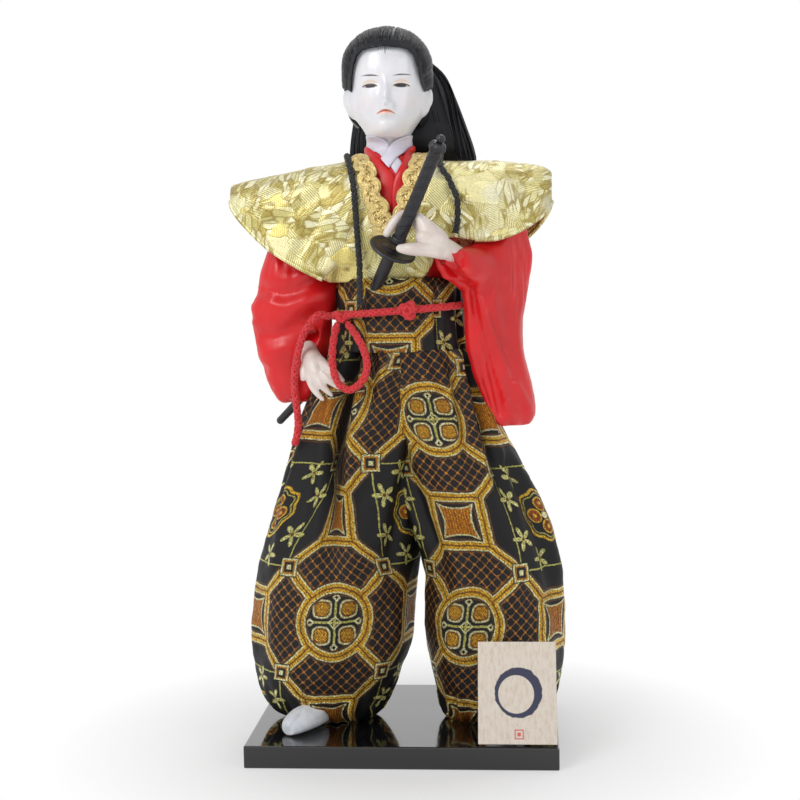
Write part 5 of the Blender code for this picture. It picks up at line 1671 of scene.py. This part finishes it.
collars = {
    "white": ((4.6, -17.0, 235.4), (1.6, -16.5, 239.0), (-3.4, -15.0, 243.8), (-9.0, -9.0, 248.0),
              (-13.6, 1.0, 248.0), (-11.2, 9.6, 247.6), (-4.4, 13.0, 247.4), (2.6, 9.6, 247.6),
              (5.4, 1.0, 248.4), (4.0, -7.0, 248.0), (-0.4, -14.0, 245.2), (-3.6, -16.2, 242.2),
              (-5.6, -17.0, 240.0)),
    "red": ((1.4, -19.0, 212.0), (-0.6, -19.0, 222.0), (-4.0, -18.0, 232.4), (-9.2, -13.6, 239.4),
            (-14.4, -6.0, 244.0), (-17.0, 2.0, 245.4), (-12.6, 11.4, 245.6), (-4.4, 15.0, 245.6),
            (3.8, 11.4, 245.6), (8.6, 2.0, 245.4), (9.0, -7.0, 244.0), (7.0, -13.4, 240.4),
            (4.2, -18.0, 234.0), (2.6, -19.0, 225.0), (2.0, -19.0, 212.0)),
    "whiteWidth": (6.4, 6.4), "redWidth": (9.6, 5.2), "thick": 0.55, "robeTop": (236.0, 250.0, 1.3),
    "robeHigh": 243.0,
}

robe = evenCopy("under_robe", "robe_satin", 0.9, 8)
points, normals = pointsOf(robe), normalsOf(robe)
low, high, pull = collars["robeTop"]
inward = smoothstep((points[:, 2] - low) / (high - low)) * pull
side = points - np.array((axis[0], axis[1], 0.0))
side[:, 2] = 0.0
points -= side / np.linalg.norm(side, axis=1)[:, None] * inward[:, None]
above = np.maximum(points[:, 2] - collars["robeHigh"], 0.0)
points[:, 2] -= above * 0.65
putPoints(robe, points + normals * (fieldNoise(points, 8.0, 3.0) * 0.25)[:, None])
dress(robe, redSatin, "satin", "under_robe")
robeSurface = surfaceOf(robe)
whiteBand = laidBand("white_band", collars["white"], collars["whiteWidth"], collars["thick"],
                     [robeSurface, surfaceOf(headPiece)], (0.2, 0.95))
dress(whiteBand, whiteSatin, "white_cloth", "white_collar")
redBand = laidBand("red_band", collars["red"], collars["redWidth"], collars["thick"],
                   [robeSurface, surfaceOf(whiteBand)], (0.2, 0.95))
dress(redBand, redSatin, "satin", "red_collar")


# Flat plaits of gold cord along the front edges: two columns of leaning stitches, two threads each.
plait = {"width": 6.6, "space": 2.9, "long": 6.4, "ply": 0.56, "spread": 0.52, "high": 1.0, "lift": 0.15}


def middleOf(node, step=1.0):          # middle line, side and outward direction of a laid band
    piece = copyOfNode(node, "measure")
    points = pointsOf(piece)
    bpy.data.objects.remove(piece)
    middle = points.mean(axis=0)
    far = np.argmax(np.linalg.norm(points - middle, axis=1))
    line, spot = [], points[far]
    left = np.ones(len(points), bool)
    while left.any():
        near = np.linalg.norm(points - spot, axis=1) < 4.4
        fresh = near & left
        if not fresh.any():
            break
        line.append(points[near].mean(axis=0))
        left &= ~(np.linalg.norm(points - spot, axis=1) < 2.6)
        if not left.any():
            break
        rest = points[left]
        gap = np.linalg.norm(rest - spot, axis=1)
        if gap.min() > 9.0:
            break
        spot = rest[np.argmin(gap)]
    line = evenly(smoothRows(line, 6 * len(line)), step)
    for _ in range(12):
        line[1:-1] = 0.5 * line[1:-1] + 0.25 * (line[2:] + line[:-2])
    ahead = np.gradient(line, axis=0)
    ahead /= np.linalg.norm(ahead, axis=1)[:, None]
    sides = []
    for i, point in enumerate(line):
        local = points[np.linalg.norm(points - point, axis=1) < 5.0] - point
        local = local - (local @ ahead[i])[:, None] * ahead[i]
        _, _, rows = np.linalg.svd(local, full_matrices=False)
        sides.append(rows[0])
    sides = np.array(sides)
    for i in range(1, len(sides)):
        if sides[i] @ sides[i - 1] < 0.0:
            sides[i] *= -1.0
    for _ in range(10):
        sides[1:-1] = 0.5 * sides[1:-1] + 0.25 * (sides[2:] + sides[:-2])
    sides -= (sides * ahead).sum(axis=1)[:, None] * ahead
    sides /= np.linalg.norm(sides, axis=1)[:, None]
    out = np.cross(ahead, sides)
    if out[len(out) // 3][1] > 0.0:
        out *= -1.0
    return line, sides, out


def goldPlait(name, node):
    line, sides, out = middleOf(node, 0.5)
    reach = plait["width"] / 2.0 - plait["ply"]
    pieces = []
    part = np.linspace(0.0, 1.0, 12)
    down = 1.0 if line[-1][2] < line[0][2] else -1.0
    for column in (-1.0, 1.0):
        start = 0.5 * plait["space"] * (column > 0.0)
        while start + plait["long"] < (len(line) - 1) * 0.5:
            at = (start + plait["long"] * (part if down > 0.0 else 1.0 - part)) / 0.5
            k = np.clip(at.astype(int), 0, len(line) - 2)
            rest = (at - k)[:, None]
            middle = line[k] * (1.0 - rest) + line[k + 1] * rest
            for place in (-1.0, 1.0):
                lateral = (column * (0.2 + (reach - 0.2) * np.sin(part * math.pi * 0.5))
                           + place * plait["spread"] * (1.0 - 0.5 * part))
                high = (plait["lift"] + plait["high"] * np.sin(0.25 + part * (math.pi - 0.45))
                        - 0.5 * part)
                ply = middle + sides[k] * lateral[:, None] + out[k] * high[:, None]
                pieces.append(tubeAlong("ply", ply,
                                        plait["ply"] * (0.62 + 0.38 * np.sin(part * math.pi)), 7))
            start += plait["space"]
    bed = [[line[i] + sides[i] * (plait["width"] * 0.44 * math.cos(b))
            + out[i] * (0.5 * math.sin(b) - 0.1)
            for b in turnAngles(12)] for i in range(len(line))]
    pieces.append(smooth(skin("bed", bed)))
    return dress(joined(name, pieces), goldThread, "gold_braid", node)


for side in ("right", "left"):
    goldPlait("gold_plait_" + side, "lapel_braid_" + side)
print("collars ready")


# hands: chains of rounded joints melted into one skin
def limb(name, chains, voxel=0.4, smoothing=10):
    pieces = []
    for rows in chains:
        rows = smoothRows(rows, 10 * len(rows))
        pieces.append(tubeAlong("joint", rows[:, :3], rows[:, 3], 16))
        for row in (rows[0], rows[-1]):
            pieces.append(ball(row[:3], row[3], 20, 12))
    piece = joined(name, pieces)
    piece.data.remesh_voxel_size = voxel * mm
    only(piece)
    bpy.ops.object.voxel_remesh()
    apply(piece, "SMOOTH", factor=0.5, iterations=smoothing)
    return smooth(piece)


hands = {
    "left": (((27.4, -14.6, 200.6, 3.2), (24.2, -21.6, 202.2, 3.7), (17.4, -31.8, 205.8, 4.4),
              (12.0, -35.2, 208.8, 3.8)),
             ((17.0, -33.6, 208.0, 4.4), (12.8, -34.2, 212.6, 3.7), (10.0, -34.2, 216.6, 2.1)),
             ((18.6, -31.4, 204.0, 3.8), (12.6, -36.8, 204.4, 3.0), (7.6, -39.2, 204.4, 2.6),
              (4.2, -38.8, 204.6, 2.1), (2.4, -37.8, 204.8, 1.6)),
             ((11.0, -32.4, 212.0, 2.6), (7.0, -30.4, 217.0, 2.2), (3.0, -30.6, 218.2, 1.9),
              (-0.4, -31.2, 215.0, 1.95), (-3.2, -31.6, 211.0, 1.7))),
    "right": (((-38.8, -4.6, 165.0, 3.2), (-37.2, -10.0, 161.2, 4.3), (-35.4, -13.2, 158.4, 4.7),
               (-34.0, -15.6, 155.2, 4.4)),
              ((-37.4, -14.6, 157.4, 2.5), (-36.4, -17.6, 151.6, 1.75), (-34.4, -18.6, 148.0, 1.5),
               (-31.6, -18.8, 144.6, 0.85)),
              ((-35.2, -15.6, 156.6, 2.5), (-33.0, -18.4, 152.2, 1.75), (-30.6, -19.6, 149.2, 1.5),
               (-27.8, -19.6, 146.4, 0.85)),
              ((-33.4, -15.8, 157.6, 2.5), (-30.6, -19.0, 154.4, 1.75), (-27.8, -20.4, 151.8, 1.5),
               (-24.9, -20.6, 149.4, 0.85)),
              ((-33.0, -14.6, 159.8, 2.5), (-29.4, -18.4, 157.6, 1.8), (-26.0, -20.4, 155.4, 1.5),
               (-22.9, -21.0, 152.4, 0.9)),
              ((-37.8, -11.4, 160.4, 2.4), (-39.6, -14.4, 156.8, 1.8), (-39.8, -16.4, 153.0, 1.1))),
}


def handMaterial():
    material, t, shader = newMaterial("moldedHand", paint(228, 216, 208), 0.38, Coat_Weight=0.15,
                                      Coat_Roughness=0.2, Subsurface_Weight=0.12, Subsurface_Scale=0.002)
    place = placeOf(t)
    soft = speckle(t, place, 0.16, 3.0)
    feed(shader, "Base Color", ramp(t, soft, (0.3, paint(216, 202, 194)), (0.65, paint(234, 224, 216))))
    raised(t, shader, speckle(t, place, 1.4, 2.0), 0.03, 0.3)
    return material


handSkin = handMaterial()
for side, chains in hands.items():
    dress(limb("hand_%s_skin" % side, chains), handSkin, "skin", "hand_" + side)

# sock feet: a seam, and a split beside the big toe
feet = {"foot_right": ((-46.5, -34.0), (0.5, 0.866), 1.0),
        "foot_left": ((46.0, -32.0), (-0.5, 0.866), -1.0)}
for name, (toe, back, inner) in feet.items():
    piece = evenCopy(name, name + "_sock", 0.5, 8)
    points, normals = pointsOf(piece), normalsOf(piece)
    toe, back = np.array(toe), np.array(back)
    side = np.array((back[1], -back[0])) * inner
    far = (points[:, :2] - toe) @ back
    off = (points[:, :2] - toe) @ side
    split = (np.exp(-((off - 1.7) / 0.7) ** 2) * smoothstep((9.5 - far) / 3.0)
             * smoothstep((points[:, 2] - 10.0) / 2.0))
    seam = (np.exp(-((off + 0.4) / 0.45) ** 2) * smoothstep((far - 12.0) / 3.0)
            * smoothstep((normals[:, 2] - 0.1) / 0.3))
    wrinkle = fieldNoise(points, 4.0, 9.0) * 0.16
    putPoints(piece, points + normals * (wrinkle - 1.2 * split - 0.28 * seam)[:, None])
    dress(piece, whiteCotton, "white_cloth", name)
print("hands and feet ready")


# sword: a wrapped hilt with a knobbed end and a bead, a dished guard, a black scabbard
sword = {
    "hilt": ((17.8, -48.6, 241.8), (9.7, -39.4, 225.1), (1.1, -30.6, 207.8)), "hiltRadius": 2.45,
    "scabbard": ((-1.5, -28.4, 204.0), (-4.9, -23.8, 197.5), (-8.3, -19.4, 191.3), (-12.6, -15.4, 184.6),
                 (-17.0, -11.6, 178.1), (-22.6, -6.8, 170.6), (-28.3, -1.8, 163.1),
                 (-34.1, 2.6, 155.6), (-39.9, 7.0, 148.0), (-47.1, 11.6, 140.5),
                 (-54.5, 15.6, 133.2)),
    "scabbardRadius": (2.6, 2.6, 2.5, 2.2, 2.0, 1.9, 1.85, 1.8, 1.8, 1.8, 1.65),
    "guard": 9.6, "bead": 1.75,
}


# A turned shape: rows of radius and height along an axis that starts at a place.
def turned(name, place, way, rows, count=48, ripple=None):
    way = Vector(way).normalized()
    side = way.orthogonal().normalized()
    up = way.cross(side)
    rings = [[tuple(Vector(place) + way * h + (side * math.cos(b) + up * math.sin(b))
                    * (r * (1.0 + (ripple[1] * math.cos(ripple[0] * b) if ripple else 0.0))))
              for b in turnAngles(count)] for r, h in rows]
    return smooth(skin(name, rings))


hiltLine = evenly(smoothRows(sword["hilt"], 40), 0.5)
ahead, sides, ups = framesAlong(hiltLine)
pieces = [tubeAlong("core", hiltLine, sword["hiltRadius"], 24)]
for way in (1, -1):
    for s in range(2):
        a = way * np.arange(len(hiltLine)) * 0.5 / 9.0 * 2.0 * math.pi + math.pi * s
        out = sides * np.cos(a)[:, None] + ups * np.sin(a)[:, None]
        path = hiltLine + out * (sword["hiltRadius"] + 0.02 * way)
        go = np.gradient(path, axis=0)
        go /= np.linalg.norm(go, axis=1)[:, None]
        flat = np.cross(go, out)
        wrap = [[path[i] + out[i] * 0.12 * math.sin(b) + flat[i] * 1.25 * math.cos(b)
                 for b in turnAngles(10)] for i in range(len(path))]
        pieces.append(smooth(skin("wrap", wrap)))
top, down = Vector(hiltLine[0]), Vector(ahead[0])
pieces.append(turned("ferrule", hiltLine[-1], -down, ((2.0, -1.0), (2.9, -0.8), (3.0, 0.0), (3.0, 1.6),
                                                      (2.8, 2.0), (2.2, 2.1))))
knobRows = ((1.6, -1.6), (2.6, -1.2), (3.2, -0.3), (3.35, 0.6), (3.1, 1.6), (2.5, 2.4), (2.0, 2.6))
pieces.append(turned("knobs", tuple(top - down * 1.6), down, knobRows, 64, (9, 0.07)))
for b in turnAngles(9):
    place = top - down * 1.2 + (Vector(sides[0]) * math.cos(b) + Vector(ups[0]) * math.sin(b)) * 2.6
    pieces.append(smooth(ball(place, 0.85, 14, 8)))
pieces.append(turned("bead", tuple(top - down * 4.6), -down, [
    (max(0.02, sword["bead"] * math.sin(a)), -sword["bead"] * math.cos(a))
    for a in (math.pi * j / 14 for j in range(15))], 24))
dress(joined("sword_hilt_wrapped", pieces), swordBlack, "black_plastic", "sword_hilt")

low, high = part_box("sword_guard")
centre = [(a + b) / 2.0 / mm for a, b in zip(low, high)]
g = sword["guard"]
guard = turned("sword_guard_dished", centre, tuple(Vector(ahead[-1])), (
    (2.0, -0.9), (3.6, -0.9), (3.9, -0.6), (g - 1.6, -0.42), (g - 1.2, -0.75), (g - 0.4, -0.7),
    (g, -0.3),
    (g, 0.3), (g - 0.4, 0.7), (g - 1.2, 0.75), (g - 1.6, 0.42), (3.9, 0.6), (3.6, 0.9), (2.0, 0.9)), 72)
dress(guard, swordBlack, "black_plastic", "sword_guard")

scabbardRows = smoothRows([(*p, r) for p, r in zip(sword["scabbard"], sword["scabbardRadius"])], 90)
scabbard = tubeAlong("sword_scabbard_black", scabbardRows[:, :3], scabbardRows[:, 3], 24)
tipAt = scabbardRows[-1]
scabbard = joined("sword_scabbard_black", [scabbard, smooth(ball(tipAt[:3], tipAt[3], 24, 14))])
dress(scabbard, swordBlack, "black_plastic", "sword_scabbard")
print("sword ready")


# the floor, and what the CAD nodes still show
floorMaterial, floorTree, floorShader = newMaterial("paleFloor", view["floor"], 0.9)
bpy.ops.mesh.primitive_plane_add(size=12.0, location=(0.0, 3.0, 0.0))
floor = settle(bpy.context.object)
floor.name = "floor"
floor.data.materials.append(floorMaterial)
glow = floorTree.nodes.new("ShaderNodeEmission")
fade = floorTree.nodes.new("ShaderNodeMixShader")
x, y, _ = axes(floorTree, placeOf(floorTree))
floorTree.links.new(spread(floorTree, longer(floorTree, x, y), *view["fade"]), fade.inputs[0])
floorTree.links.new(floorShader.outputs[0], fade.inputs[1])
floorTree.links.new(glow.outputs[0], fade.inputs[2])
floorTree.links.new(fade.outputs[0], floorTree.nodes["Material Output"].inputs[0])
floor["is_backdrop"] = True

nodeFinish = {
    "base_board": blackLacquer, "sign": signWood,
    "leg_wire_right": steelWire, "leg_wire_left": steelWire,
}
for name, material in nodeFinish.items():
    node = bpy.data.objects[name]
    node.data.materials.clear()
    node.data.materials.append(material)

low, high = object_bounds()
